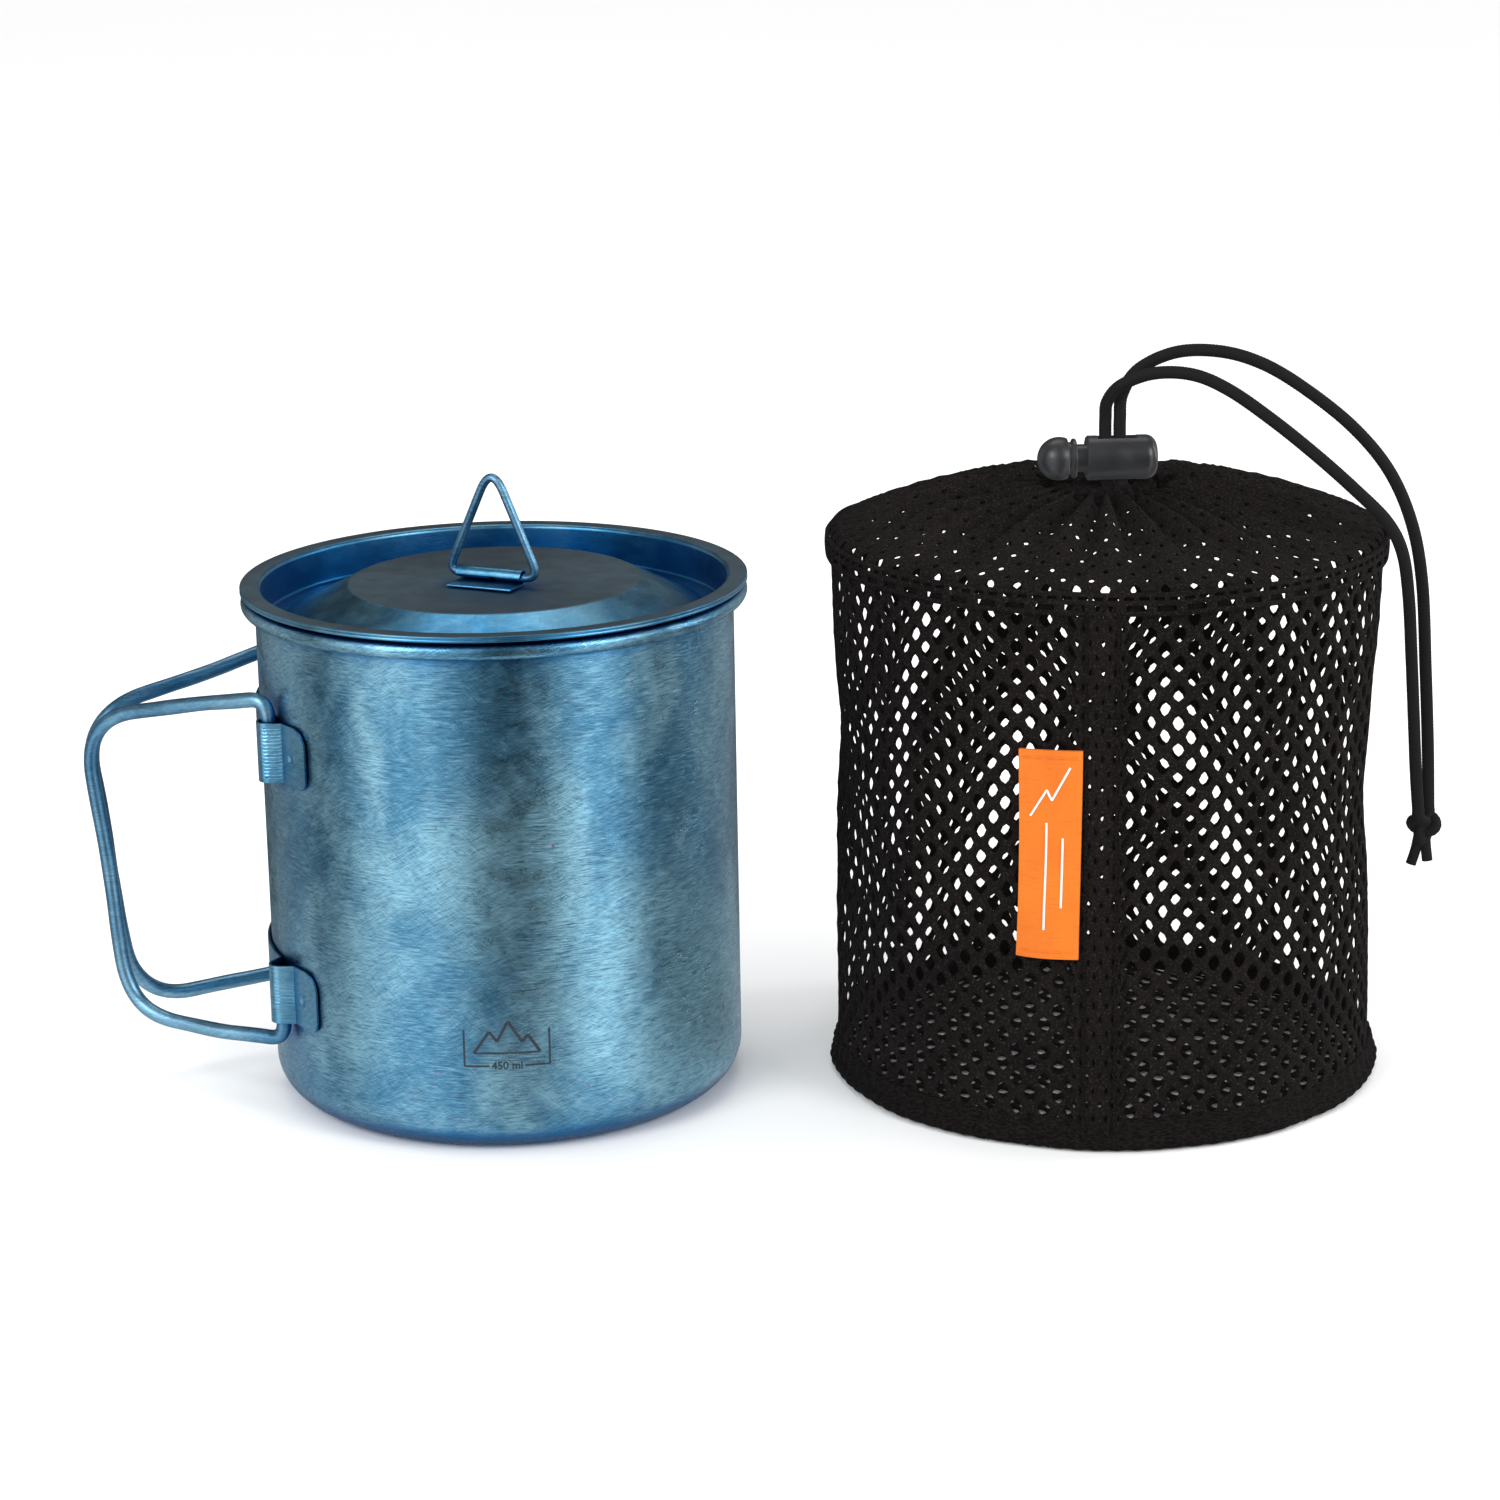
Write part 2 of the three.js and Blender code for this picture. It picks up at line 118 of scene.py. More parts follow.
# The drawcord's two free strands, from the lock to the knot, from the sack's axis.
LEFT_STRAND = [
    (-0.2, 0, 112.3), (-0.2, 0, 116), (0, -0.9, 119.2), (2.2, -2.3, 122.2), (7.6, -3.9, 124.4),
    (14, -5.6, 124.3), (20, -7.4, 121.8), (27, -10.5, 117), (34, -13.5, 111.4), (40.5, -15.8, 105.6),
    (45.6, -17, 100.4), (48.4, -16.8, 95), (50, -15.4, 87), (51.2, -13.6, 76), (52.4, -11.6, 64),
    (53.4, -9.9, 54), (54.2, -9.1, 46.9),
]
RIGHT_STRAND = [
    (2.3, 0, 112.3), (2.3, 0, 116), (2.7, 0.3, 120.2), (5.6, 0.6, 124.4), (12, 0.4, 127.2),
    (19.5, -0.6, 127.3), (26.6, -1.8, 125.2), (33.9, -3.2, 120.8), (42, -4.6, 114.2), (48.2, -5.6, 106.6),
    (52.2, -6.2, 97.4), (54.2, -6.6, 86.9), (55.2, -6.8, 72), (56, -7, 58), (56.4, -7.2, 46.9),
]


# ---- mesh helpers ----
def add_object(name, mesh):
    obj = bpy.data.objects.new(name, mesh)
    SCENE.collection.objects.link(obj)
    return obj


def solid(name, points, faces, material, sharp=35):
    """A smooth-shaded object from points in millimetres; edges over the sharp angle stay crisp."""
    mesh = bpy.data.meshes.new(name)
    mesh.from_pydata([(x * MM, y * MM, z * MM) for x, y, z in points], [], faces)
    mesh.shade_smooth()
    mesh.set_sharp_from_angle(angle=math.radians(sharp))
    mesh.materials.append(material)
    return add_object(name, mesh)


def arc(centre_x, centre_y, radius, start, end, steps=8):
    """Points of a circular arc, from one angle to another, in degrees."""
    angles = [math.radians(start + (end - start) * i / steps) for i in range(steps + 1)]
    return [(centre_x + radius * math.cos(a), centre_y + radius * math.sin(a)) for a in angles]


def lathe(name, profile, material, segments=192, centre=(0, 0), sharp=35, shape=None):
    """Turns (radius, height) points about a vertical axis. The profile closes on itself, or starts and
    ends on the axis. shape(angle, radius, height) may move each point of the turned surface."""
    rows, points, faces = [], [], []
    for radius, height in profile:
        first = len(points)
        count = 1 if radius < 1e-6 else segments
        for i in range(count):
            angle = 2 * math.pi * i / segments
            r, z = shape(angle, radius, height) if shape else (radius, height)
            points.append((centre[0] + r * math.cos(angle), centre[1] + r * math.sin(angle), z))
        rows.append((first, count))
    on_axis = rows[0][1] == 1
    pairs = list(zip(rows, rows[1:])) if on_axis else list(zip(rows, rows[1:] + rows[:1]))
    for (a, count_a), (b, count_b) in pairs:
        for i in range(segments):
            j = (i + 1) % segments
            corners = [a + i % count_a, a + j % count_a, b + j % count_b, b + i % count_b]
            faces.append([c for k, c in enumerate(corners) if c not in corners[:k]])
    return solid(name, points, faces, material, sharp)


def swept_frames(path):
    """A smooth pair of sideways directions at each point of a path."""
    tangents = []
    for i in range(len(path)):
        before, after = path[max(i - 1, 0)], path[min(i + 1, len(path) - 1)]
        tangents.append((after - before).normalized())
    side = tangents[0].orthogonal().normalized()
    frames = []
    for tangent in tangents:
        side = (side - tangent * side.dot(tangent)).normalized()
        frames.append((side, tangent.cross(side)))
    return frames


def tube(name, path, radius, material, sides=24, surface=None):
    """A capped tube along a path in millimetres. surface(distance, angle) adds to its radius."""
    path = [Vector(p) for p in path]
    frames = swept_frames(path)
    points, faces, distance = [], [], 0.0
    for i, (place, (side, up)) in enumerate(zip(path, frames)):
        distance += (place - path[i - 1]).length if i else 0
        for k in range(sides):
            angle = 2 * math.pi * k / sides
            r = radius + (surface(distance, angle) if surface else 0)
            points.append(place + side * (r * math.cos(angle)) + up * (r * math.sin(angle)))
    for i in range(len(path) - 1):
        for k in range(sides):
            a, b = i * sides + k, i * sides + (k + 1) % sides
            faces.append([a, b, b + sides, a + sides])
    last = (len(path) - 1) * sides
    faces.append(list(range(sides))[::-1])
    faces.append([last + k for k in range(sides)])
    return solid(name, points, faces, material, sharp=60)


def bent_wire(corners, steps=10):
    """A path of straight runs joined by rounded bends, from (x, y, z, bend radius) corners."""
    points = [Vector(c[:3]) for c in corners]
    path = [points[0]]
    for i in range(1, len(points) - 1):
        to_previous = (points[i - 1] - points[i]).normalized()
        to_next = (points[i + 1] - points[i]).normalized()
        reach = corners[i][3] / math.tan(to_previous.angle(to_next) / 2)
        start, end = points[i] + to_previous * reach, points[i] + to_next * reach
        path += even(path[-1], start)[1:]
        for k in range(1, steps + 1):
            t = k / steps
            path.append(start * (1 - t) ** 2 + points[i] * (2 * t * (1 - t)) + end * t ** 2)
    path += even(path[-1], points[-1])[1:]
    return path


def even(start, end, step=2.0):
    """Points from start to end about a step apart."""
    count = max(1, round((end - start).length / step))
    return [start.lerp(end, i / count) for i in range(count + 1)]


def smooth_path(points, steps=12):
    """A Catmull-Rom curve through the points."""
    known = [Vector(p) for p in points]
    known = [known[0] * 2 - known[1]] + known + [known[-1] * 2 - known[-2]]
    path = []
    for p0, p1, p2, p3 in zip(known, known[1:], known[2:], known[3:]):
        for k in range(steps):
            t = k / steps
            path.append(0.5 * (p1 * 2 + (p2 - p0) * t + (p0 * 2 - p1 * 5 + p2 * 4 - p3) * t ** 2
                               + (p1 * 3 - p0 - p2 * 3 + p3) * t ** 3))
    return path + [known[-2]]


def spaced(path, step):
    """The same path with its points an even step apart."""
    result, carried = [path[0].copy()], 0.0
    for start, end in zip(path, path[1:]):
        length = (end - start).length
        travelled = step - carried
        while travelled <= length:
            result.append(start.lerp(end, travelled / length))
            travelled += step
        carried = length - (travelled - step)
    return result + [path[-1].copy()]


def extrude_outline(name, outline, depth, material, place, sharp=35):
    """A prism: the outline in local XY, extruded along local Z by depth, put in place by a matrix."""
    count = len(outline)
    points = [place @ Vector((x, y, z)) for z in (0, depth) for x, y in outline]
    faces = [list(range(count))[::-1], list(range(count, 2 * count))]
    for i in range(count):
        j = (i + 1) % count
        faces.append([i, j, count + j, count + i])
    return solid(name, points, faces, material, sharp)


def bevel(obj, width, segments=2, angle=40):
    """Rounds the sharp edges by a width in millimetres."""
    modifier = obj.modifiers.new("Bevel", "BEVEL")
    modifier.width = width * MM
    modifier.segments = segments
    modifier.limit_method = "ANGLE"
    modifier.angle_limit = math.radians(angle)
    modifier.harden_normals = True
    return obj


def cut(obj, cutter):
    """Subtracts a cutter from an object and keeps the result as its mesh."""
    modifier = obj.modifiers.new("Cut", "BOOLEAN")
    modifier.object = cutter
    modifier.operation = "DIFFERENCE"
    modifier.solver = "EXACT"
    evaluated = obj.evaluated_get(bpy.context.evaluated_depsgraph_get())
    mesh = bpy.data.meshes.new_from_object(evaluated)
    obj.modifiers.clear()
    obj.data = mesh
    mesh.shade_smooth()
    mesh.set_sharp_from_angle(angle=math.radians(35))
    bpy.data.objects.remove(cutter)
    return obj


def settle(piece, body, slot, *nodes):
    """The piece rides on its body and stands for its CAD nodes; slot is not used. The pot doesn't
    mirror the sack, which the photograph shows apart from it."""
    piece.visible_glossy = body not in SACK_BODIES
    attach(piece, body)
    if nodes:
        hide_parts(*nodes)
    return piece


# ---- material helpers ----
class Look:
    """One material's node tree. Every method adds a node and returns its output."""

    def __init__(self, name, **uniform):
        self.material = bpy.data.materials.new(name)
        self.material.use_nodes = True
        self.tree = self.material.node_tree
        self.tree.nodes.clear()
        self.shader = self.node("BsdfPrincipled")
        output = self.node("OutputMaterial")
        self.tree.links.new(self.shader.outputs[0], output.inputs["Surface"])
        for socket, value in uniform.items():
            self.shader.inputs[socket.replace("_", " ")].default_value = value
        self.place = self.node("TexCoord").outputs["Object"]

    def node(self, kind, **settings):
        made = self.tree.nodes.new("ShaderNode" + kind)
        for name, value in settings.items():
            setattr(made, name, value)
        return made

    def feed(self, made, **inputs):
        for name, value in inputs.items():
            key = int(name[1:]) if name.startswith("_") else name.replace("_", " ")
            if isinstance(value, bpy.types.NodeSocket):
                self.tree.links.new(value, made.inputs[key])
            else:
                made.inputs[key].default_value = value
        return made

    def noise(self, cell, detail=3.0, roughness=0.55, distortion=0.0, turn=(0, 0, 0)):
        """Noise whose cell is one size or three, in millimetres, after a turn in degrees."""
        turned = self.feed(self.node("Mapping"), Vector=self.place,
                           Rotation=[math.radians(a) for a in turn])
        sizes = cell if isinstance(cell, tuple) else (cell, cell, cell)
        scaled = self.feed(self.node("Mapping"), Vector=turned.outputs[0],
                           Scale=[1 / (size * MM) for size in sizes])
        made = self.feed(self.node("TexNoise"), Vector=scaled.outputs[0], Scale=1.0, Detail=detail,
                         Roughness=roughness, Distortion=distortion)
        return made.outputs["Fac"]

    def curve(self, factor, low, high, to_low=0.0, to_high=1.0):
        """Maps factor from low..high to to_low..to_high, clamped and eased."""
        made = self.node("MapRange", interpolation_type="SMOOTHSTEP")
        self.feed(made, Value=factor, From_Min=low, From_Max=high, To_Min=to_low, To_Max=to_high)
        return made.outputs[0]

    def math(self, operation, a, b=0.0):
        return self.feed(self.node("Math", operation=operation), _0=a, _1=b).outputs[0]

    def open_air(self, reach):
        """1 on open surface, less within a reach in millimetres of something that overhangs it."""
        return self.feed(self.node("AmbientOcclusion", samples=8), Distance=reach * MM).outputs["AO"]

    def level_above(self, height):
        """1 on level surface that faces up, above a height in millimetres."""
        normal = self.feed(self.node("SeparateXYZ"), Vector=self.node("TexCoord").outputs["Normal"])
        place = self.feed(self.node("SeparateXYZ"), Vector=self.place)
        high = self.curve(place.outputs["Z"], (height - 1) * MM, height * MM)
        return self.math("MULTIPLY", self.curve(normal.outputs["Z"], 0.92, 0.985), high)

    def mix(self, factor, a, b, blend="MIX"):
        """A mix of two colours."""
        made = self.node("Mix", data_type="RGBA", blend_type=blend)
        return self.feed(made, _0=factor, _6=a, _7=b).outputs[2]

    def bump(self, height, depth, strength=1.0, under=None):
        """Relief of a depth in millimetres, over another relief."""
        made = self.feed(self.node("Bump"), Height=height, Distance=depth * MM, Strength=strength)
        if under:
            self.tree.links.new(under, made.inputs["Normal"])
        return made.outputs[0]

    def finish(self, **inputs):
        self.feed(self.shader, **inputs)
        return self.material


def rgb(red, green, blue):
    return (red, green, blue, 1.0)


# ---- materials ----
# Painted reflection: charcoal grey painted on level tops that face up, standing for a dark ceiling mirrored
# in them.
PAINTED_REFLECTION_GREY = (0.105, 0.148, 0.18)


def blued_titanium(name, light, deep, scratch, shine=0.34, grain=1.0, reach=2.5, painted_reflection_height=None):
    """Heat-blued titanium sheet: clouds of lighter and deeper blue, fine lines all round, short
    scratches in other directions, a few plum-coloured specks, and a deeper blue in corners, as far out
    as reach, which is partly heat tint and partly painted shade. The last argument is the height over
    which level surface facing up is painted charcoal grey, a painted reflection of a dark ceiling. Both
    are millimetres."""
    look = Look(name, Metallic=1.0, Anisotropic=0.3)
    clouds = look.noise((24, 24, 34), 4, 0.62, 0.5)
    mottle = look.noise((5, 5, 4), 4, 0.65)
    lines = look.noise((2.6, 2.6, 0.25), 3, 0.65)
    slanted = look.noise((2.2, 2.2, 0.24), 3, 0.65, turn=(18, 24, 0))
    crossed = look.noise((2.0, 2.0, 0.22), 3, 0.65, turn=(-28, -33, 0))
    patch = look.curve(look.noise(9, 2), 0.4, 0.6, 0.15, 0.75)
    specks = look.curve(look.noise(1.7, 2), 0.735, 0.77)
    relief = look.mix(patch, look.mix(0.4, slanted, crossed), lines)

    tone = look.mix(look.curve(clouds, 0.36, 0.62), rgb(*deep), rgb(*light))
    tone = look.mix(look.curve(mottle, 0.5, 0.75, 0.0, 0.22), tone, rgb(0.24, 0.36, 0.44))
    tone = look.mix(look.curve(relief, 0.3, 0.6, 0.6 * scratch, 0.0), tone, rgb(0.02, 0.08, 0.15))
    tone = look.mix(look.curve(relief, 0.5, 0.8, 0.0, 0.5 * scratch), tone, rgb(0.42, 0.68, 0.80))
    tone = look.mix(specks, tone, rgb(0.24, 0.16, 0.33))
    gloss = look.curve(mottle, 0.3, 0.7, shine - 0.05, shine + 0.07)
    # Level surface facing up above the height is painted charcoal grey and made a little rougher: a painted
    # reflection of a dark ceiling.
    if painted_reflection_height:
        painted_reflection_mask = look.level_above(painted_reflection_height)
        tone = look.mix(painted_reflection_mask, tone, rgb(*PAINTED_REFLECTION_GREY))
        gloss = look.math("ADD", gloss, look.math("MULTIPLY", painted_reflection_mask, 0.2))
    # Painted shade, partly heat tint: surface within reach of an overhang, beside the straps, under the bead
    # and down in the lid's trough, is painted a deeper blue.
    tone = look.mix(look.curve(look.open_air(reach), 0.5, 0.99, 0.9, 0.0), tone, rgb(0.003, 0.11, 0.30))

    swell = look.bump(look.noise((13, 13, 16), 2), 0.35 * grain, 0.35)
    hammer = look.bump(mottle, 0.12 * grain, 0.5, swell)
    normal = look.bump(relief, 0.09 * scratch, 0.9, hammer)
    return look.finish(Base_Color=tone, Roughness=gloss, Normal=normal)


def net_cloth():
    """Warp-knitted polyester net: black, with a faint thread grain."""
    look = Look("net_cloth", Roughness=0.8, Specular_IOR_Level=0.06)
    thread = look.noise(0.35, 2)
    shade = look.noise(14, 3)
    tone = look.mix(shade, rgb(0.0025, 0.002, 0.002), rgb(0.009, 0.007, 0.0065))
    tone = look.mix(look.curve(thread, 0.5, 0.75, 0.0, 0.6), tone, rgb(0.034, 0.028, 0.026))
    return look.finish(Base_Color=tone, Normal=look.bump(thread, 0.12, 0.9))


def woven_tape():
    """Black woven binding with a fine rib."""
    look = Look("woven_tape", Roughness=0.85, Specular_IOR_Level=0.06)
    rib = look.noise((0.9, 0.9, 0.22), 2)
    fuzz = look.noise(0.3, 2)
    tone = look.mix(look.curve(rib, 0.35, 0.65), rgb(0.0025, 0.002, 0.002), rgb(0.010, 0.008, 0.0075))
    normal = look.bump(rib, 0.12, 0.8, look.bump(fuzz, 0.05, 0.7))
    return look.finish(Base_Color=tone, Normal=normal)


def label_satin():
    """Orange satin ribbon, woven in fine lines across."""
    look = Look("label_satin", Roughness=0.55, Specular_IOR_Level=0.3, Sheen_Weight=0.05)
    weft = look.noise((3, 3, 0.12), 1)
    shade = look.noise((6, 6, 9), 3)
    tone = look.mix(shade, rgb(0.56, 0.11, 0.002), rgb(0.70, 0.175, 0.004))
    tone = look.mix(look.curve(weft, 0.55, 0.75, 0.0, 0.4), tone, rgb(0.42, 0.075, 0.002))
    return look.finish(Base_Color=tone, Normal=look.bump(weft, 0.05, 0.6))


def label_thread():
    """White woven lines and stitches on the label."""
    look = Look("label_thread", Roughness=0.6, Sheen_Weight=0.2)
    fuzz = look.noise(0.2, 2)
    tone = look.mix(fuzz, rgb(0.62, 0.60, 0.57), rgb(0.85, 0.83, 0.80))
    return look.finish(Base_Color=tone, Normal=look.bump(fuzz, 0.03, 0.6))


def cord_braid():
    """Black braided polyester cord."""
    look = Look("cord_braid", Roughness=0.68, Specular_IOR_Level=0.12)
    strand = look.noise(0.18, 2)
    tone = look.mix(strand, rgb(0.003, 0.0028, 0.003), rgb(0.012, 0.011, 0.011))
    return look.finish(Base_Color=tone, Normal=look.bump(strand, 0.05, 0.7))


def lock_plastic():
    """Moulded dark grey plastic with a faint grain, patchy in tone and gloss."""
    look = Look("lock_plastic", Roughness=0.42, Specular_IOR_Level=0.5)
    grain = look.noise(0.25, 3)
    shade = look.noise(5, 3)
    tone = look.mix(shade, rgb(0.010, 0.0105, 0.012), rgb(0.021, 0.022, 0.025))
    gloss = look.curve(shade, 0.3, 0.7, 0.32, 0.44)
    return look.finish(Base_Color=tone, Roughness=gloss, Normal=look.bump(grain, 0.03, 0.6))


def spring_steel():
    look = Look("spring_steel", Metallic=1.0)
    drawn = look.noise((0.4, 0.1, 0.1), 2)
    tone = look.mix(drawn, rgb(0.45, 0.46, 0.48), rgb(0.62, 0.63, 0.65))
    return look.finish(Base_Color=tone, Roughness=look.curve(drawn, 0.3, 0.7, 0.22, 0.36))


def laser_mark():
    """Dark oxide left by a laser, a little uneven."""
    look = Look("laser_mark", Metallic=0.6)
    burn = look.noise(0.5, 3)
    tone = look.mix(burn, rgb(0.022, 0.030, 0.040), rgb(0.050, 0.060, 0.072))
    return look.finish(Base_Color=tone, Roughness=look.curve(burn, 0.3, 0.7, 0.5, 0.68))


def studio_floor():
    """Pale matt paper. Away from the pot, polished metal sees through it to the room."""
    look = Look("studio_floor", Roughness=0.9)
    faint = look.noise(300, 2)
    material = look.finish(Base_Color=look.mix(faint, rgb(0.90, 0.90, 0.90), rgb(0.92, 0.92, 0.92)))
    away = look.feed(look.node("VectorMath", operation="LENGTH"), _0=look.place).outputs["Value"]
    away = look.curve(away, *(r * MM for r in FLOOR_REFLECTED), 0.5, 1.0)
    reflected = look.math("MULTIPLY", away, look.node("LightPath").outputs["Is Glossy Ray"])
    pick = look.feed(look.node("MixShader"), _0=reflected, _1=look.shader.outputs[0],
                     _2=look.node("BsdfTransparent").outputs[0])
    output = next(n for n in look.tree.nodes if n.type == "OUTPUT_MATERIAL")
    look.feed(output, Surface=pick.outputs[0])
    return material


# ---- camera ----
def make_camera():
    """A long lens a little above the set, rolled so that the pot leans by a degree."""
    data = bpy.data.cameras.new("camera")
    data.lens = 92.5
    data.sensor_width = 36
    camera = bpy.data.objects.new("camera", data)
    SCENE.collection.objects.link(camera)
    place = Vector((20, -650, 243.2)) * MM
    aim = Vector((43.7, 0, 58.5)) * MM
    turn = (aim - place).to_track_quat("-Z", "Y").to_matrix().to_4x4()
    roll = Matrix.Rotation(math.radians(-0.97), 4, "Z")
    camera.matrix_world = Matrix.Translation(place) @ turn @ roll
    data.clip_start = 0.01
    data.clip_end = 20
    SCENE.camera = camera


# ---- drawcord ----
def braid(distance, angle):
    """Relief of a braided sleeve: two sets of strands that wind opposite ways."""
    turns = 2 * math.pi * distance / 4.6
    one = math.cos(4 * (angle + turns))
    other = math.cos(4 * (angle - turns))
    return 0.05 * (one * other) - 0.02


def make_strand(name, points):
    """One free strand of the drawcord, from the lock to the knot."""
    line = [Vector((x + SACK_X, y, z)) for x, y, z in points]
    path = spaced(smooth_path(line), 0.3)
    strand = tube(name, path, CORD_RADIUS, CORD, 20, braid)
    settle(strand, "bag", "cord", name)
    return strand


def knot_path():
    """A closed overhand knot, pulled tight."""
    path = []
    for i in range(240):
        t = 2 * math.pi * i / 240
        x = math.sin(t) + 2 * math.sin(2 * t)
        y = math.cos(t) - 2 * math.cos(2 * t)
        z = -math.sin(3 * t)
        path.append(KNOT_PLACE + Vector((x * 0.74, z * 1.05, y * 0.82)))
    return path


def make_knot():
    knot = tube("drawcord_knot_wraps", knot_path() + knot_path()[:1], 0.98, CORD, 16, braid)
    settle(knot, "bag", "cord", "drawcord_knot")
    for side, (x, length) in enumerate(((-1.5, 5.2), (0.5, 4.4))):
        top = KNOT_PLACE + Vector((x * 0.5, 0.3 - side * 0.6, -1.6))
        bend = top + Vector((x * 0.35, -0.2, -length * 0.5))
        tail_path = spaced(smooth_path([top, bend, top + Vector((x * 0.9, -0.4, -length))]), 0.3)
        tail = tube(f"drawcord_tail_{side + 1}", tail_path, 0.95, CORD, 16, braid)
        settle(tail, "bag", "cord")
        tail.parent = knot
    for side, points in enumerate((LEFT_STRAND, RIGHT_STRAND)):
        before, end = (Vector(p) + Vector((SACK_X, 0, 0)) for p in points[-2:])
        onward = end + (end - before).normalized() * 1.2
        entry = tube(f"drawcord_entry_{side + 1}", spaced(smooth_path([end, onward, KNOT_PLACE]), 0.3),
                     CORD_RADIUS, CORD, 20, braid)
        settle(entry, "bag", "cord")
        entry.parent = knot
    return knot


def make_mouth_loop():
    """The cord inside the channel round the mouth, up to the lock."""
    def round_mouth(degrees):
        angle = math.radians(degrees)
        return (6.3 * math.cos(angle), 6.3 * math.sin(angle), 103)
    ring = [round_mouth(a) for a in (55, 80, 110, 140, 170, 200, 230, 260, 285, 308)]
    line = [(-0.2, 0, 112), (-0.2, 0, 109), (-0.1, 0.1, 106), (0.9, 0.9, 104), (2.6, 2.4, 103)] + ring
    line += [(4.4, -2.9, 103), (3, -1.2, 103.9), (2.4, -0.2, 106), (2.3, 0, 109), (2.3, 0, 112)]
    path = spaced(smooth_path([Vector((x + SACK_X, y, z)) for x, y, z in line]), 0.35)
    loop = tube("drawcord_channel_run", path, CORD_RADIUS, CORD, 20, braid)
    settle(loop, "bag", "cord", "drawcord_mouth_loop")


make_camera()
CORD = cord_braid()
KNOT = make_knot()
make_strand("drawcord_left_strand", LEFT_STRAND)
make_strand("drawcord_right_strand", RIGHT_STRAND)
make_mouth_loop()


# ---- pot ----
POT_BLUE = blued_titanium("pot_blue", (0.26, 0.52, 0.66), (0.09, 0.26, 0.41), scratch=1.35, shine=0.3,
                          reach=6)
# The lid's plateau and flange tops, above 88 mm, carry the painted reflection of a dark ceiling.
LID_BLUE = blued_titanium("lid_blue", (0.13, 0.31, 0.43), (0.045, 0.20, 0.36), scratch=0.45, grain=0.35,
                          reach=13, painted_reflection_height=88)
STRAP_BLUE = blued_titanium("strap_blue", (0.16, 0.38, 0.54), (0.05, 0.23, 0.40), scratch=0.9, grain=0.5,
                            reach=1.8)
WIRE_BLUE = blued_titanium("wire_blue", (0.20, 0.40, 0.55), (0.06, 0.19, 0.34), scratch=0.8, shine=0.40,
                           grain=0.6)


def make_pot():
    """The deep-drawn cup. Its rim is rolled outwards and back to the wall, and stays a little open."""
    inner = POT_RADIUS - SHEET
    flat = POT_RADIUS - POT_CORNER
    curl_end = -128
    outer = [(0, 0), (flat * 0.5, 0)] + arc(flat, POT_CORNER, POT_CORNER, -90, 0, 14)
    outer += [(POT_RADIUS, z) for z in (30, 60, 80, BEAD_Z - BEAD_RADIUS)]
    curl = arc(BEAD_CENTRE, BEAD_Z, BEAD_RADIUS - SHEET, 180, curl_end, 28)
    curl_back = arc(BEAD_CENTRE, BEAD_Z, BEAD_RADIUS, curl_end, 180, 36)
    wall_in = [(inner, z) for z in (80, 60, 30)]
    wall_in += arc(flat, POT_CORNER, POT_CORNER - SHEET, 0, -90, 14)
    profile = outer + curl + curl_back + wall_in + [(flat * 0.5, SHEET), (0, SHEET)]
    pot = lathe("pot_cup", profile, POT_BLUE, 256)
    settle(pot, "pot", "pot_titanium", "pot_shell")


def make_lid():
    """The pressed lid: a raised middle, a cone, a trough, a skirt and a hemmed flange."""
    under = FLANGE_Z - SHEET
    hem_low = FLANGE_Z - 1.05
    bend, fillet, crease, foot = 0.8, 0.5, 2.0, 1.5
    slope = math.degrees(math.atan2(PLATEAU_Z - TROUGH_Z, CONE_FOOT - PLATEAU_RADIUS))
    half_slope = math.tan(math.radians(slope / 2))
    top_bend = arc(PLATEAU_RADIUS - crease * half_slope, PLATEAU_Z - crease, crease, 90, 90 - slope, 5)
    foot_bend = arc(CONE_FOOT + foot * half_slope, TROUGH_Z + foot, foot, -90, -90 - slope, 5)
    profile = [(0, PLATEAU_Z - SHEET), (PLATEAU_RADIUS, PLATEAU_Z - SHEET)]
    profile += [(CONE_FOOT, TROUGH_Z - SHEET), (SKIRT_RADIUS - fillet, TROUGH_Z - SHEET)]
    profile += arc(SKIRT_RADIUS - fillet, TROUGH_Z + fillet, fillet + SHEET, -90, 0, 6)
    profile += [(SKIRT_RADIUS + SHEET, under - 0.4)]
    profile += arc(SKIRT_RADIUS + bend, under - 0.4, 0.4, 180, 90, 4)
    profile += [(FLANGE_RADIUS - 1.1, under), (FLANGE_RADIUS - 1.1, hem_low)]
    profile += arc(FLANGE_RADIUS - 0.24, hem_low + 0.24, 0.24, -90, 20, 5)
    profile += [(FLANGE_RADIUS - 0.14, FLANGE_Z - 0.55)]
    profile += arc(FLANGE_RADIUS - 0.22, FLANGE_Z - 0.22, 0.22, -20, 90, 5)
    profile += arc(SKIRT_RADIUS + bend, FLANGE_Z - bend, bend, 90, 180, 8)
    profile += arc(SKIRT_RADIUS - fillet, TROUGH_Z + fillet, fillet, 0, -90, 6)
    profile += foot_bend + top_bend[::-1] + [(PLATEAU_RADIUS * 0.5, PLATEAU_Z), (0, PLATEAU_Z)]
    lid = lathe("lid_pressing", profile, LID_BLUE, 256, sharp=50)
    settle(lid, "lid", "lid_titanium", "lid_pan")


def ring_matrix():
    turn = Matrix.Rotation(math.radians(RING_ANGLE), 4, "Z")
    return Matrix.Translation(RING_PLACE) @ turn


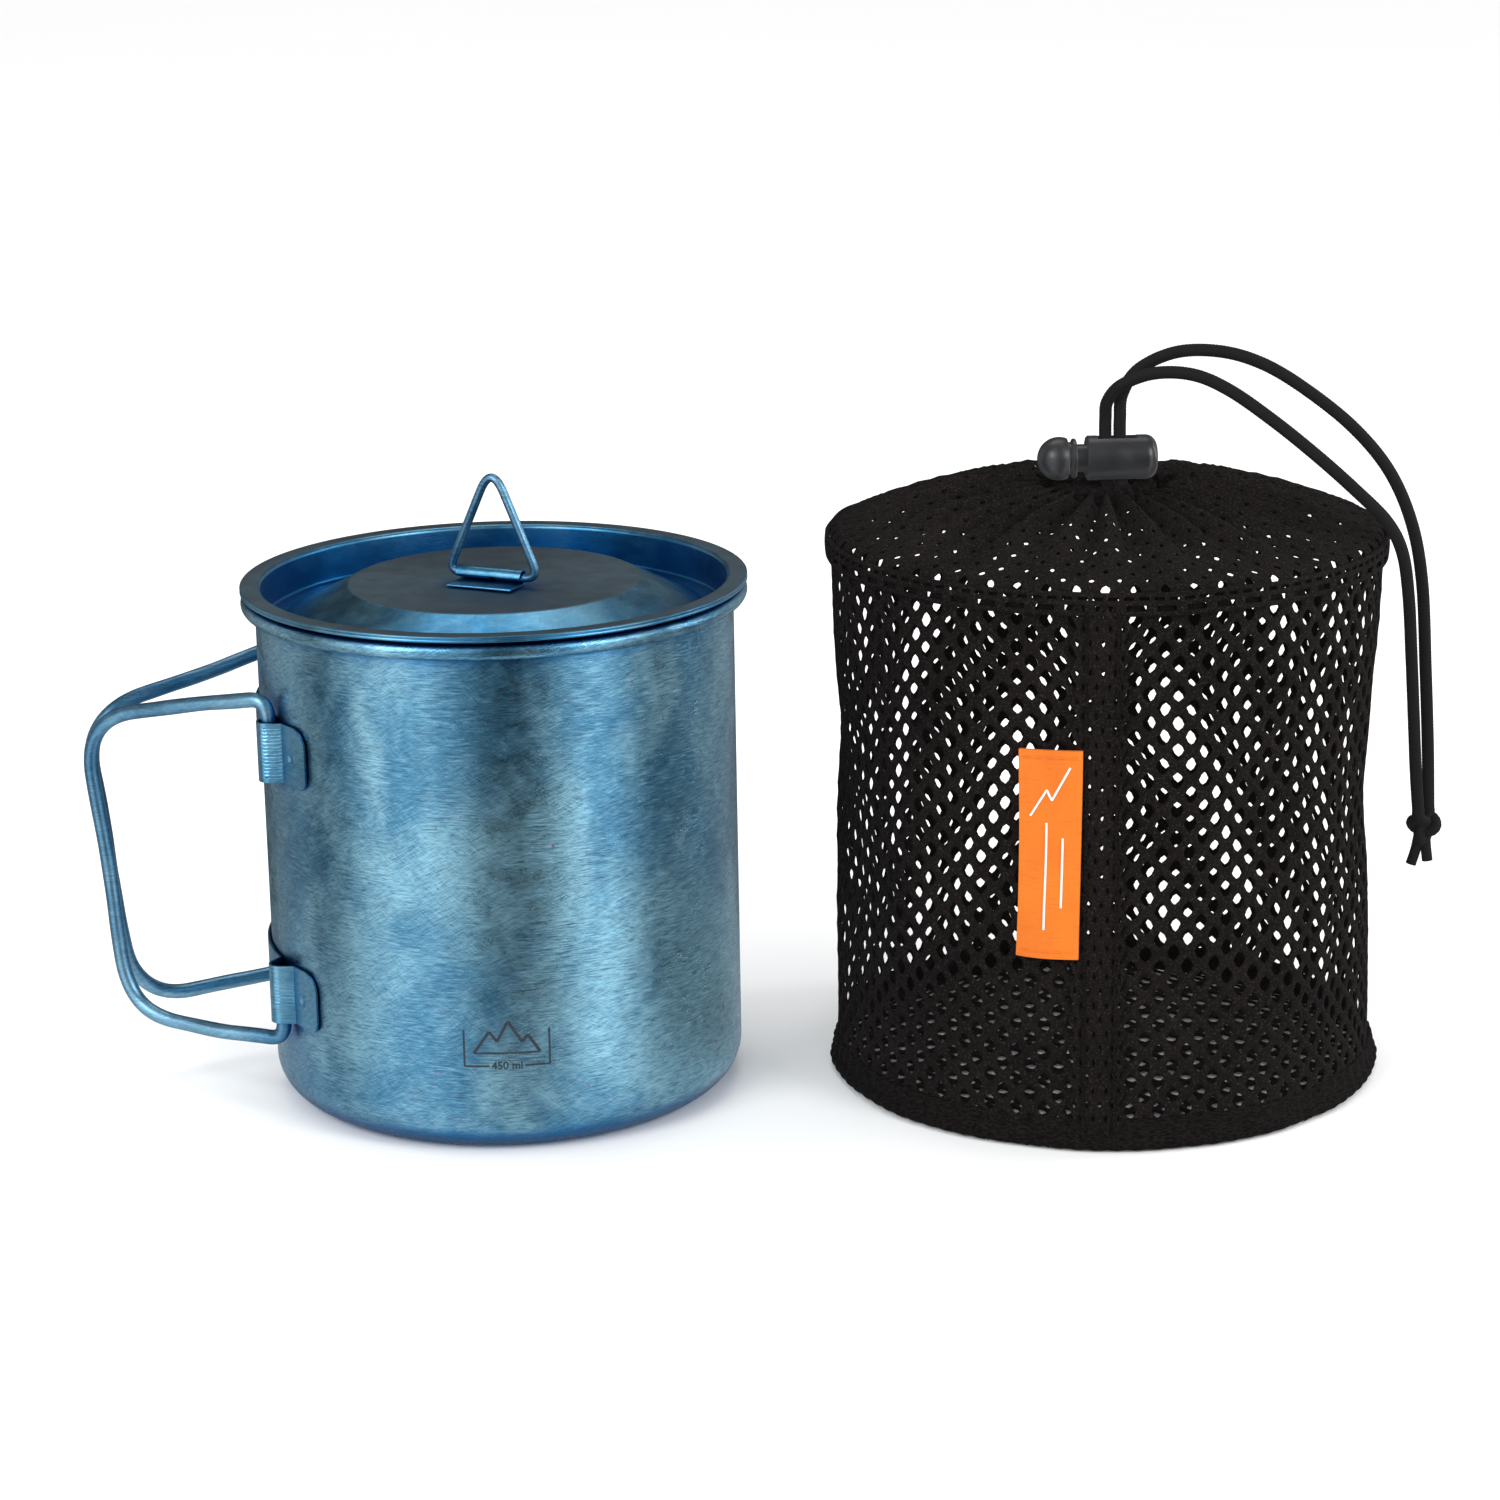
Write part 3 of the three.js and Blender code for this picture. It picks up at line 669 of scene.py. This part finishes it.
def make_ear():
    """The plate whose back edge is rolled into a sleeve for the ring."""
    outline = arc(0, 0, EAR_SLEEVE, -90, 180, 30) + arc(0, 0, EAR_BORE, 180, -90, 30)
    front = SHEET - EAR_SLEEVE
    outline += [(-EAR_REACH + 0.15, front), (-EAR_REACH, front - 0.15), (-EAR_REACH, -EAR_SLEEVE)]
    place = ring_matrix() @ Matrix.Translation((-EAR_WIDTH / 2, 0, 0))
    axes = Matrix(((0, 0, 1, 0), (1, 0, 0, 0), (0, 1, 0, 0), (0, 0, 0, 1)))
    ear = extrude_outline("lid_ear_plate", outline, EAR_WIDTH, STRAP_BLUE, place @ axes)
    settle(bevel(ear, 0.12), "lid", "strap_titanium", "lid_ear")


def make_ring():
    """The folding ring: a wire bent into a rounded triangle."""
    left, right, apex, shift = -8.3, 9.3, 19.6, 0.5
    corners = [(shift - 0.4, 0, 0, 0), (left, 0, 0, 1.9), (shift + 0.3, 0, apex, 2.5),
               (right, 0, 0, 1.9), (shift + 0.4, 0, 0, 0)]
    path = [ring_matrix() @ p for p in bent_wire(corners, 14)]
    ring = tube("lid_ring_wire", path, RING_WIRE, WIRE_BLUE)
    settle(ring, "lid_ring", "wire_titanium", "lid_ring")


def make_handle(side, name):
    """One wire loop. side is -1 for the front and 1 for the back."""
    spread, lean = math.radians(HINGE_SPREAD), math.radians(HANDLE_LEAN)
    hinge_x = -HINGE_RADIUS * math.cos(spread)
    hinge_y = side * HINGE_RADIUS * math.sin(spread)
    corners = [(hinge_x - reach * math.cos(lean), hinge_y - side * reach * math.sin(lean), z, bend)
               for reach, z, bend in HANDLE_CORNERS]
    hinge = Vector((hinge_x, hinge_y, 0))
    path = []
    for p in bent_wire(corners, 16):
        free = min((p.xy - hinge.xy).length / 12, 1)
        path.append(p + noise.noise_vector(p / 17 + Vector((0, 0, side))) * (0.55 * free))
    loop = tube(f"{name}_wire", path, HANDLE_WIRE, WIRE_BLUE, 28,
                lambda distance, angle: 0.07 * noise.noise(Vector((distance / 7, 0, side))))
    settle(loop, name.replace("_loop", ""), "wire_titanium", name)


def strap_radius(angle, outside):
    """Distance of the strap's face from the pot's axis, at an angle from -X in degrees. Beside its round
    crest, the hump over a handle wire comes down to the face in a ramp."""
    face = STRAP_INNER + (SHEET if outside else 0)
    hump = HUMP_OUTER if outside else HUMP_INNER
    crest = 0.82 * hump
    beside = abs(abs(angle) - HINGE_SPREAD) * math.radians(HINGE_RADIUS)
    if beside <= crest:
        return HINGE_RADIUS + math.sqrt(hump ** 2 - beside ** 2)
    start = HINGE_RADIUS + math.sqrt(hump ** 2 - crest ** 2)
    ramp = min((beside - crest) / (HUMP_FOOT - crest), 1)
    return start + (face - start) * ramp


def strap_stamping(angle, height, upper):
    """Relief of the stamped marks: ribs on the hump's ramp and a weld dimple on the flange."""
    beside = (abs(angle) - HINGE_SPREAD) * math.radians(HINGE_RADIUS)
    across = min(max(min(beside - 1.0, 3.0 - beside) / 0.25, 0), 1)
    depth = 0.20 if upper else 0.13
    reach = 4.4 if upper else 2.0
    ribs = -depth * across * (0.5 + 0.5 * math.cos(2 * math.pi * height / 0.62)) ** 2
    ribs *= 1.0 if abs(height) < reach else 0.0
    from_weld = math.hypot((abs(angle) - 34.9) * math.radians(HINGE_RADIUS), height + 0.4)
    dimple = -0.24 * math.exp(-(from_weld / 0.6) ** 2) + 0.14 * math.exp(-((from_weld - 1.05) / 0.3) ** 2)
    return ribs + dimple


def strap_angles():
    """Angles across the strap, close together over the humps and the weld dimples."""
    fine = [21 + 0.16 * i for i in range(int((STRAP_HALF_ANGLE - 21) / 0.16) + 1)] + [STRAP_HALF_ANGLE]
    middle = [-20 + 1.0 * i for i in range(41)]
    return [-a for a in reversed(fine)] + middle + fine


def make_strap(name, middle):
    """A strip round the pot with two humps over the handle wires, spot-welded at its ends."""
    upper = name.startswith("upper")
    angles = strap_angles()
    rows = 105
    points, faces, index = [], [], {}
    for outside in (True, False):
        for i, angle in enumerate(angles):
            end = (STRAP_HALF_ANGLE - abs(angle)) * math.radians(STRAP_INNER)
            corner_top = corner_cut(end, 3.4)
            corner_low = corner_cut(end, 1.8)
            for k in range(rows):
                low, high = -STRAP_HEIGHT / 2 + corner_low, STRAP_HEIGHT / 2 - corner_top
                height = low + (high - low) * k / (rows - 1)
                radius = strap_radius(angle, outside)
                radius += strap_stamping(angle, height, upper) if outside else 0
                direction = math.pi + math.radians(angle)
                index[outside, i, k] = len(points)
                points.append((radius * math.cos(direction), radius * math.sin(direction), middle + height))
    last = len(angles) - 1
    for i in range(last):
        for k in range(rows - 1):
            quad = [(i, k), (i + 1, k), (i + 1, k + 1), (i, k + 1)]
            faces.append([index[True, a, b] for a, b in quad])
            faces.append([index[False, a, b] for a, b in reversed(quad)])
        for k, turn in ((0, 1), (rows - 1, -1)):
            edge = [index[True, i, k], index[False, i, k], index[False, i + 1, k], index[True, i + 1, k]]
            faces.append(edge[::turn])
    for k in range(rows - 1):
        for i, turn in ((0, 1), (last, -1)):
            edge = [index[True, i, k], index[True, i, k + 1], index[False, i, k + 1], index[False, i, k]]
            faces.append(edge[::turn])
    strap = solid(f"{name}_strip", points, faces, STRAP_BLUE, sharp=50)
    settle(strap, "pot", "strap_titanium", name)


def corner_cut(from_end, radius):
    """How much a rounded end corner takes off the strap's height."""
    if from_end >= radius:
        return 0.0
    return radius - math.sqrt(max(0.0, radius ** 2 - (radius - from_end) ** 2))


make_pot()
make_lid()
make_ear()
make_ring()
make_handle(-1, "front_handle_loop")
make_handle(1, "back_handle_loop")
for strap_name, strap_middle in STRAP_HEIGHTS.items():
    make_strap(strap_name, strap_middle)


# ---- capacity mark: a plain frame, three peaks and the pot's capacity ----
def on_wall(across, height):
    """A point just proud of the pot's wall, from its distance round from the front."""
    angle = across / POT_RADIUS
    radius = POT_RADIUS + 0.015
    return (radius * math.sin(angle), -radius * math.cos(angle), height)


def stroke(points, faces, start, end, width):
    """Adds a straight line of a width, as short quads that follow the wall."""
    run = Vector((end[0] - start[0], end[1] - start[1]))
    side = Vector((-run.y, run.x)).normalized() * (width / 2)
    count = max(1, math.ceil(run.length / 0.8))
    first = len(points)
    for i in range(count + 1):
        middle = Vector(start) + run * (i / count)
        points.append(on_wall(*(middle + side)))
        points.append(on_wall(*(middle - side)))
    for i in range(count):
        a = first + 2 * i
        faces.append([a, a + 1, a + 3, a + 2])


def make_mark(material):
    points, faces = [], []
    left, right, low, high, middle = -6.6, 7.8, 16.3, 22.7, 0.6
    for start, end in (((left, high), (left, low)), ((left, low), (middle - 3, low)),
                       ((middle + 3, low), (right, low)), ((right, low), (right, high))):
        stroke(points, faces, start, end, 0.32)
    peaks = [(-5.0, 18.6), (-2.3, 22.4), (-1.0, 20.7), (0.9, 24.2), (3.2, 20.5), (4.2, 21.7), (6.2, 18.6)]
    for start, end in zip(peaks, peaks[1:]):
        stroke(points, faces, start, end, 0.5)
    stroke(points, faces, (-5.0, 18.6), (6.2, 18.6), 0.32)
    mark = solid("capacity_mark", points, faces, material)
    settle(mark, "pot", "pot_titanium")
    text = bpy.data.curves.new("capacity_text", "FONT")
    text.body = "450 ml"
    text.align_x = "CENTER"
    text.size = 1.9
    text.offset = 0.035
    flat = bpy.data.objects.new("capacity_text", text)
    letters = bpy.data.meshes.new_from_object(flat.evaluated_get(bpy.context.evaluated_depsgraph_get()))
    bpy.data.objects.remove(flat)
    shapes = [on_wall(middle + v.co.x, low - 0.55 + v.co.y) for v in letters.vertices]
    number = solid("capacity_number", shapes, [list(p.vertices) for p in letters.polygons], material)
    settle(number, "pot", "pot_titanium")


make_mark(laser_mark())


# ---- stuff sack ----
NET = net_cloth()
TAPE = woven_tape()
PITCH_COLUMNS = 61                  # diamond holes round the sack
ROW = 2.5                           # height of a row of holes
NET_THICKNESS = 0.62
PLEATS = 26


def noise_round(angle, scale, height):
    """Noise that meets itself after a turn round the sack."""
    return noise.noise(Vector((scale * math.cos(angle), scale * math.sin(angle), height)))


def sack_outline():
    """The sack's side, from the base up the wall and in over the top to the mouth, evenly spaced."""
    wall = [Vector((r - 0.5, 0, z)) for r, z in [(47.6, 2.0)] + SACK_WALL[1:-1] + [(48.0, 94.5)]]
    dome = []
    for radius in (46.9, 44, 38, 30, 22, 15, 11, MOUTH_RADIUS + 0.5):
        height = HEM_Z - 0.5 + HEM_RISE * (1 - (radius / HEM_RADIUS) ** 2.6)
        dome.append(Vector((radius, 0, height)))
    return spaced(smooth_path(wall + dome), 0.5)


OUTLINE = sack_outline()
OUTLINE_LENGTH = 0.5 * (len(OUTLINE) - 2)


def sack_point(turn, distance):
    """A point of the sack's cloth and its outward direction. turn is in turns round the sack."""
    place = min(max(distance / 0.5, 0), len(OUTLINE) - 1.001)
    i = int(place)
    here = OUTLINE[i].lerp(OUTLINE[i + 1], place - i)
    along = (OUTLINE[i + 1] - OUTLINE[i]).normalized()
    out = Vector((along.z, 0, -along.x))
    angle = 2 * math.pi * turn
    on_top = min(max((46.5 - here.x) / 20, 0), 1) if here.z > 90 else 0
    slack = math.sin(math.pi * min(max((here.z - 2) / 92, 0), 1))
    swell = 2.2 * slack * noise_round(angle, 2.2, here.z / 34)
    crease = 0.5 * slack * noise_round(angle, 7, here.z / 14 + 9)
    pleat = 1.5 * on_top * math.cos(PLEATS * angle + 2.8 * noise_round(angle, 2, 4))
    here = here + out * (swell + crease + pleat)
    direction = Vector((out.x * math.cos(angle), out.x * math.sin(angle), out.z))
    return Vector((SACK_X + here.x * math.cos(angle), here.x * math.sin(angle), here.z)), direction


# A hole's corner points from its centre, in shares of its half width and half height.
HOLE = [(-1, 0), (-0.62, -0.62), (0, -1), (0.62, -0.62), (1, 0), (0.62, 0.62), (0, 1), (-0.62, 0.62)]
# The same corners of a whole cell, in quarter columns and half rows.
CELL = [(-2, 0), (-1, -1), (0, -2), (1, -1), (2, 0), (1, 1), (0, 2), (-1, 1)]


def net_mesh(name, columns, rows, surface, hole, thickness, material, wraps=True):
    """A net of diamond holes. surface(column, row) gives a point and its outward direction; hole(row)
    gives a hole's half width in columns and half height in rows. Threads thin out towards a hole."""
    points, faces, corners, uses = [], [], {}, {}

    def vertex(column, row, half):
        place, direction = surface(column, row)
        points.append(place + direction * half)
        points.append(place - direction * half)
        return len(points) - 2

    def shared(column, row):
        key = (column % (4 * columns) if wraps else column, row)
        if key not in corners:
            crossing = column % 2 == 0
            corners[key] = vertex(column / 4, row / 2, thickness * (0.5 if crossing else 0.4))
        return corners[key]

    for j in range(rows):
        for i in range(columns):
            centre = (4 * i + 2 * (j % 2), 2 * j)
            ring = [shared(centre[0] + a, centre[1] + b) for a, b in CELL]
            wide, tall = hole(j)
            rim = [vertex(centre[0] / 4 + wide * a, j + tall * b, thickness * 0.18) for a, b in HOLE]
            for k in range(8):
                n = (k + 1) % 8
                faces.append([ring[k], ring[n], rim[n], rim[k]])
                faces.append([ring[k] + 1, rim[k] + 1, rim[n] + 1, ring[n] + 1])
                faces.append([rim[k], rim[n], rim[n] + 1, rim[k] + 1])
                edge = (ring[k], ring[n])
                uses[tuple(sorted(edge))] = uses.get(tuple(sorted(edge)), []) + [edge]
    for owners in uses.values():
        if len(owners) == 1:
            a, b = owners[0]
            faces.append([b, a, a + 1, b + 1])
    return solid(name, points, faces, material, sharp=80)


def net_hole(row):
    """Open diamonds on the wall, drawn nearly shut over the gathered top."""
    closed = min(max(((row + 1) * ROW - 93) / 5, 0), 1)
    return 0.235 * (1 - 0.55 * closed), 0.58 * (1 - 0.55 * closed)


def make_net():
    """The sack's tube of net: its wall, and the top that the drawcord gathers in pleats."""
    rows = int(OUTLINE_LENGTH / ROW) - 1
    net = net_mesh("bag_net", PITCH_COLUMNS, rows, lambda c, r: sack_point(c / PITCH_COLUMNS, (r + 1) * ROW),
                   net_hole, NET_THICKNESS, NET)
    settle(net, "bag", "mesh_fabric", "bag_wall", "bag_hem")


def make_floor_panel():
    """The round base: a square of the same net, drawn out to a circle."""
    columns, rows, radius = 19, 37, 47.6

    def on_disc(column, row):
        across = 2 * (column + 0.5) / (columns + 0.5) - 1
        along = 2 * (row + 1) / (rows + 1) - 1
        x = radius * across * math.sqrt(1 - along ** 2 / 2)
        y = radius * along * math.sqrt(1 - across ** 2 / 2)
        lift = 0.12 * noise.noise(Vector((x / 9, y / 9, 0)))
        return Vector((SACK_X + x, y, 0.55 + lift)), Vector((0, 0, 1))

    panel = net_mesh("bag_floor_panel", columns, rows, on_disc, net_hole, NET_THICKNESS, NET, wraps=False)
    settle(panel, "bag", "mesh_fabric", "bag_base")


def make_base_binding():
    """Tape folded over the seam between the wall and the base, a little puckered by its stitches."""
    def pucker(angle, radius, height):
        wave = 0.14 * math.cos(88 * angle) + 0.8 * noise_round(angle, 4, 0)
        return radius + wave * (1 if radius > 46.5 else 0.2), height + (0.3 * wave if height > 1 else 0)
    profile = arc(47.4, 1.55, 1.3, -90, 60, 8) + [(47.85, 4.2), (47.55, 5.6), (47.2, 5.75), (47.0, 4.2)]
    profile += [(46.6, 2.6)] + arc(47.4, 1.55, 1.3, 140, 250, 6)
    binding = lathe("bag_base_binding", profile, TAPE, 528, (SACK_X, 0), 50, pucker)
    settle(binding, "bag", "binding", "bag_base_seam")


def make_mouth():
    """The gathered channel that the drawcord runs in."""
    def gather(angle, radius, height):
        fold = math.cos(PLEATS * angle + 1.6 * math.sin(2 * angle))
        outward = min(max((radius - 6) / 2, 0), 1)
        return radius + 0.45 * fold * outward, height + 0.18 * fold * outward
    skin = 0.6
    profile = [(MOUTH_LIP, MOUTH_BOTTOM)] + arc(MOUTH_RADIUS - 1, MOUTH_BOTTOM + 1, 1, -90, 0, 5)
    profile += arc(MOUTH_RADIUS - 1, MOUTH_TOP - 1, 1, 0, 90, 5) + [(MOUTH_LIP, MOUTH_TOP)]
    profile += [(MOUTH_LIP, MOUTH_TOP - skin), (MOUTH_RADIUS - 1.1, MOUTH_TOP - skin)]
    profile += [(MOUTH_RADIUS - skin, MOUTH_TOP - 1.2), (MOUTH_RADIUS - skin, MOUTH_BOTTOM + 1.2)]
    profile += [(MOUTH_RADIUS - 1.1, MOUTH_BOTTOM + skin), (MOUTH_LIP, MOUTH_BOTTOM + skin)]
    mouth = lathe("bag_mouth_hem", profile, TAPE, 312, (SACK_X, 0), 50, gather)
    settle(mouth, "bag", "binding", "bag_mouth_channel")


def make_top_band():
    """The knitted edge at the top of the wall, with a row of wide slots under a row of short ones."""
    height_steps = [92.9, 93.7, 94.7, 95.5, 96.1, 96.8]
    slots = {1: [(0.17, 0.83)], 3: [(0.08, 0.42), (0.58, 0.92)]}
    points, faces, index = [], [], {}
    columns = [i + share for i in range(PITCH_COLUMNS) for share in (0, 0.08, 0.17, 0.42, 0.58, 0.83, 0.92)]
    for i, column in enumerate(columns):
        angle = 2 * math.pi * column / PITCH_COLUMNS
        for k, z in enumerate(height_steps):
            sag = 0.25 * noise_round(angle, 6, 2)
            radius = 48.25 + sag + 0.15 * math.sin(math.pi * (z - 92.9) / 3.9)
            index[i, k] = len(points)
            points.append((SACK_X + radius * math.cos(angle), radius * math.sin(angle), z + sag))
    for i in range(len(columns)):
        share = columns[i] % 1
        for k in range(len(height_steps) - 1):
            if any(left - 0.01 < share < right - 0.01 for left, right in slots.get(k, [])):
                continue
            n = (i + 1) % len(columns)
            faces.append([index[i, k], index[n, k], index[n, k + 1], index[i, k + 1]])
    band = solid("bag_top_band", points, faces, NET, sharp=80)
    thicken = band.modifiers.new("Thickness", "SOLIDIFY")
    thicken.thickness = 0.55 * MM
    thicken.offset = 0
    settle(band, "bag", "mesh_fabric")


def on_sack(across, height, proud):
    """A point over the sack's wall near the side seam, from its distance to the right of the seam."""
    turn = math.radians(SEAM_TURN) + across / 47.4
    distance = height - 2.0
    place, direction = sack_point(turn / (2 * math.pi), distance)
    return place + direction * proud, direction


def make_side_seam():
    """Two layers of net, lapped and stitched: a narrow strip with small, nearly closed holes."""
    columns, rows = 4, 37
    strip = net_mesh("bag_side_lap", columns, rows,
                     lambda c, r: on_sack(-4.4 + 8.4 * c / columns, 3.4 + r * ROW, 0.75),
                     lambda row: (0.12, 0.26), 0.7, NET, wraps=False)
    settle(strip, "bag", "binding", "bag_side_seam")
    for side, across in enumerate((-2.9, 2.2)):
        line = [on_sack(across + 0.12 * math.sin(h * 1.7), h, 1.25)[0] for h in
                [4 + 0.9 * k for k in range(101)]]
        stitches = tube(f"bag_side_stitching_{side + 1}", line, 0.2, TAPE, 8,
                        lambda d, a: 0.07 * math.sin(2 * math.pi * d / 2.4))
        settle(stitches, "bag", "binding")


def make_label(satin, thread):
    """A folded ribbon label, sewn in at the side seam, with plain woven shapes."""
    low, high = box_mm("bag_label")
    half, width = (high.z - low.z) / 2, 10.6
    middle = (high.z + low.z) / 2
    columns, rows, thickness = 14, 40, 0.7
    centre = -8.9

    def place(u, v, proud):
        curl = 0.35 * math.sin(math.pi * (u + 1) / 2) + 0.25 * math.sin(2.6 * v + 0.8) * (1 - u) / 2
        lean = 0.25 * v
        return on_sack(centre + lean + u * width / 2, middle + v * half, 1.05 + curl + proud)[0]

    points, faces = [], []
    for front in (thickness, 0.0):
        for i in range(columns + 1):
            for k in range(rows + 1):
                points.append(place(2 * i / columns - 1, 2 * k / rows - 1, front))
    layer = (columns + 1) * (rows + 1)

    def at(i, k):
        return i * (rows + 1) + k
    for i in range(columns):
        for k in range(rows):
            quad = [at(i, k), at(i + 1, k), at(i + 1, k + 1), at(i, k + 1)]
            faces.append(quad)
            faces.append([layer + q for q in reversed(quad)])
    rim = [at(i, 0) for i in range(columns)] + [at(columns, k) for k in range(rows)]
    rim += [at(i, rows) for i in range(columns, 0, -1)] + [at(0, k) for k in range(rows, 0, -1)]
    for a, b in zip(rim, rim[1:] + rim[:1]):
        faces.append([b, a, layer + a, layer + b])
    label = solid("bag_label_ribbon", points, faces, satin, sharp=50)
    settle(bevel(label, 0.12), "bag", "label_cloth", "bag_label")

    raised = thickness + 0.04
    lines = {
        "peaks": [(-0.62, 0.36), (-0.1, 0.62), (0.06, 0.52), (0.62, 0.84)],
        "bar_long": [(-0.1, -0.72), (-0.1, 0.3)],
        "bar_short": [(0.42, -0.5), (0.42, 0.16)],
    }
    for name, line in lines.items():
        path = []
        for (u0, v0), (u1, v1) in zip(line, line[1:]):
            count = 16
            path += [place(u0 + (u1 - u0) * t / count, v0 + (v1 - v0) * t / count, raised)
                     for t in range(count + (line[-1] == (u1, v1)))]
        woven = tube(f"bag_label_{name}", path, 0.2, thread, 8)
        settle(woven, "bag", "label_cloth")
    for end, v in (("top", 0.93), ("bottom", -0.93)):
        for k in range(5):
            start = -0.84 + 0.36 * k
            path = [place(start + 0.06 * t, v, raised) for t in range(5)]
            stitch = tube(f"bag_label_stitch_{end}_{k + 1}", path, 0.14, satin, 8)
            settle(stitch, "bag", "label_cloth")


make_net()
make_floor_panel()
make_base_binding()
make_mouth()
make_top_band()
make_side_seam()
make_label(label_satin(), label_thread())


# ---- cord lock ----
def lock_matrix():
    """Stands the lathe's axis along X: a height in the profile becomes a distance along X."""
    axes = Matrix(((0, 0, 1, 0), (0, 1, 0, 0), (-1, 0, 0, 0), (0, 0, 0, 1)))
    return Matrix.Translation(LOCK_PLACE * MM) @ axes


def lock_piece(name, profile, slot, material):
    """A turned piece of the lock with the cord's slot cut through it."""
    piece = lathe(name, profile, material, 96)
    piece.data.transform(lock_matrix())
    low, high = slot
    x = LOCK_PLACE.x
    across = SLOT_HALF_WIDTH
    corners = [(x + a, b, LOCK_PLACE.z + c) for a in (low, high) for b in (-across, across) for c in (-9, 9)]
    faces = [(0, 1, 3, 2), (4, 6, 7, 5), (0, 4, 5, 1), (2, 3, 7, 6), (0, 2, 6, 4), (1, 5, 7, 3)]
    cutter = solid(f"{name}_cutter", corners, faces, material)
    return bevel(cut(piece, cutter), 0.18)


def make_lock(plastic):
    radius, bore, end, rounding = 3.85, 2.75, 10.3, 2.0
    barrel = [(0, 9.3), (bore, 9.3), (bore, -1.9), (radius - 0.25, -1.9), (radius, -1.65)]
    barrel += arc(radius - rounding, end - rounding, rounding, 0, 90, 8) + [(0, end)]
    piece = lock_piece("cord_lock_body", barrel, LOCK_SLOT, plastic)
    settle(piece, "cord_lock", "lock_plastic", "cord_lock_barrel")
    stem, head, centre = 2.4, 3.75, -6.6
    plunger = [(0, 6.2), (stem - 0.3, 6.2), (stem, 5.9), (stem, -3.6)]
    plunger += [(3.2, -3.65), (3.4, -3.85), (3.4, -4.3), (2.8, -4.6), (2.8, -5.0)]
    plunger += arc(0, centre, head, 22, -90, 20)
    slot = [edge - PLUNGER_OFFSET for edge in LOCK_SLOT]
    piece = lock_piece("cord_lock_button", plunger, slot, plastic)
    settle(piece, "lock_plunger", "lock_plastic", "cord_lock_plunger")


make_lock(lock_plastic())
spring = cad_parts["cord_lock_spring"]
spring.data.materials.clear()
spring.data.materials.append(spring_steel())


# ---- studio ----
FLOOR_REFLECTED = (60, 120)         # the floor fades out of reflections between these distances
ROOM_WHITE = 1.12                   # brightness of the room to the eye and to matt surfaces
LIGHT_AIM = Vector((30, 0, 50))
# What polished metal sees: the brightness of the room's walls, strip lights and flags at directions
# in degrees from the front, clockwise from above.
ROOM_BANDS = [
    (-180, 0.10), (-150, 0.05), (-134, 0.48), (-107, 0.70), (-98, 0.06), (-84, 0.10), (-74, 0.80),
    (-60, 1.50), (-24, 1.55), (-12, 0.12), (10, 0.04), (28, 0.16), (39, 1.90), (56, 2.00), (68, 0.28),
    (84, 0.18), (102, 0.36), (122, 0.45), (146, 0.55), (162, 0.14), (180, 0.10),
]


def make_floor():
    size = 6000
    corners = [(-size, -size, 0), (size, -size, 0), (size, size, 0), (-size, size, 0)]
    floor = solid("floor", corners, [(0, 1, 2, 3)], studio_floor())


def softbox(name, direction, distance, size, power):
    """A white area light. direction is its azimuth from the front, clockwise from above, and elevation."""
    azimuth, elevation = (math.radians(a) for a in direction)
    out = Vector((math.sin(azimuth) * math.cos(elevation), -math.cos(azimuth) * math.cos(elevation),
                  math.sin(elevation)))
    data = bpy.data.lights.new(name, "AREA")
    data.shape = "RECTANGLE"
    data.size, data.size_y = size[0] * MM, size[1] * MM
    data.energy = power
    light = bpy.data.objects.new(name, data)
    SCENE.collection.objects.link(light)
    light.location = (LIGHT_AIM + out * distance) * MM
    light.rotation_euler = (-out).to_track_quat("-Z", "Y").to_euler()


def make_world():
    """White to the eye and to soft light. Polished metal sees a dim room with tall strip lights."""
    world = bpy.data.worlds.new("studio")
    world.use_nodes = True
    world.cycles.sampling_method = "NONE"
    tree = world.node_tree
    tree.nodes.clear()

    def node(kind, *sources, **settings):
        made = tree.nodes.new("ShaderNode" + kind)
        for name, value in settings.items():
            setattr(made, name, value)
        for socket, source in zip(made.inputs, sources):
            if isinstance(source, bpy.types.NodeSocket):
                tree.links.new(source, socket)
            else:
                socket.default_value = source
        return made

    split = node("SeparateXYZ", node("TexCoord").outputs["Generated"])
    front = node("Math", split.outputs["Y"], -1.0, operation="MULTIPLY")
    turn = node("Math", split.outputs["X"], front.outputs[0], operation="ARCTAN2")
    share = node("MapRange", turn.outputs[0], -math.pi, math.pi)
    bands = node("ValToRGB", share.outputs[0])
    bands.color_ramp.interpolation = "EASE"
    stops = bands.color_ramp.elements
    stops[0].position, stops[1].position = 0.0, 1.0
    # A stop's colour can't pass 1, so the ramp holds half of each level and overhead doubles it.
    for place, (azimuth, level) in enumerate(ROOM_BANDS):
        inner = 0 < place < len(ROOM_BANDS) - 1
        stop = stops.new((azimuth + 180) / 360) if inner else stops[0 if place == 0 else -1]
        stop.color = rgb(level * 0.5, level * 0.5, level * 0.5)
    overhead = node("MapRange", split.outputs["Z"], 0.25, 0.75, 2.0, 0.9)
    room = node("Background", bands.outputs["Color"], overhead.outputs[0])
    white = node("Background", rgb(1, 1, 1), ROOM_WHITE)
    ray = node("LightPath")
    pick = node("MixShader", ray.outputs["Is Glossy Ray"], white.outputs[0], room.outputs[0])
    node("OutputWorld", pick.outputs[0])
    SCENE.world = world


make_floor()
make_world()
softbox("key_left", (-42, 34), 1000, (420, 420), 4.0)
softbox("fill_right", (48, 30), 1100, (300, 420), 4.0)
softbox("rim_right", (100, 16), 900, (110, 600), 2.0)
softbox("top_back", (180, 68), 900, (620, 320), 1.6)
SCENE.view_settings.view_transform = "Standard"
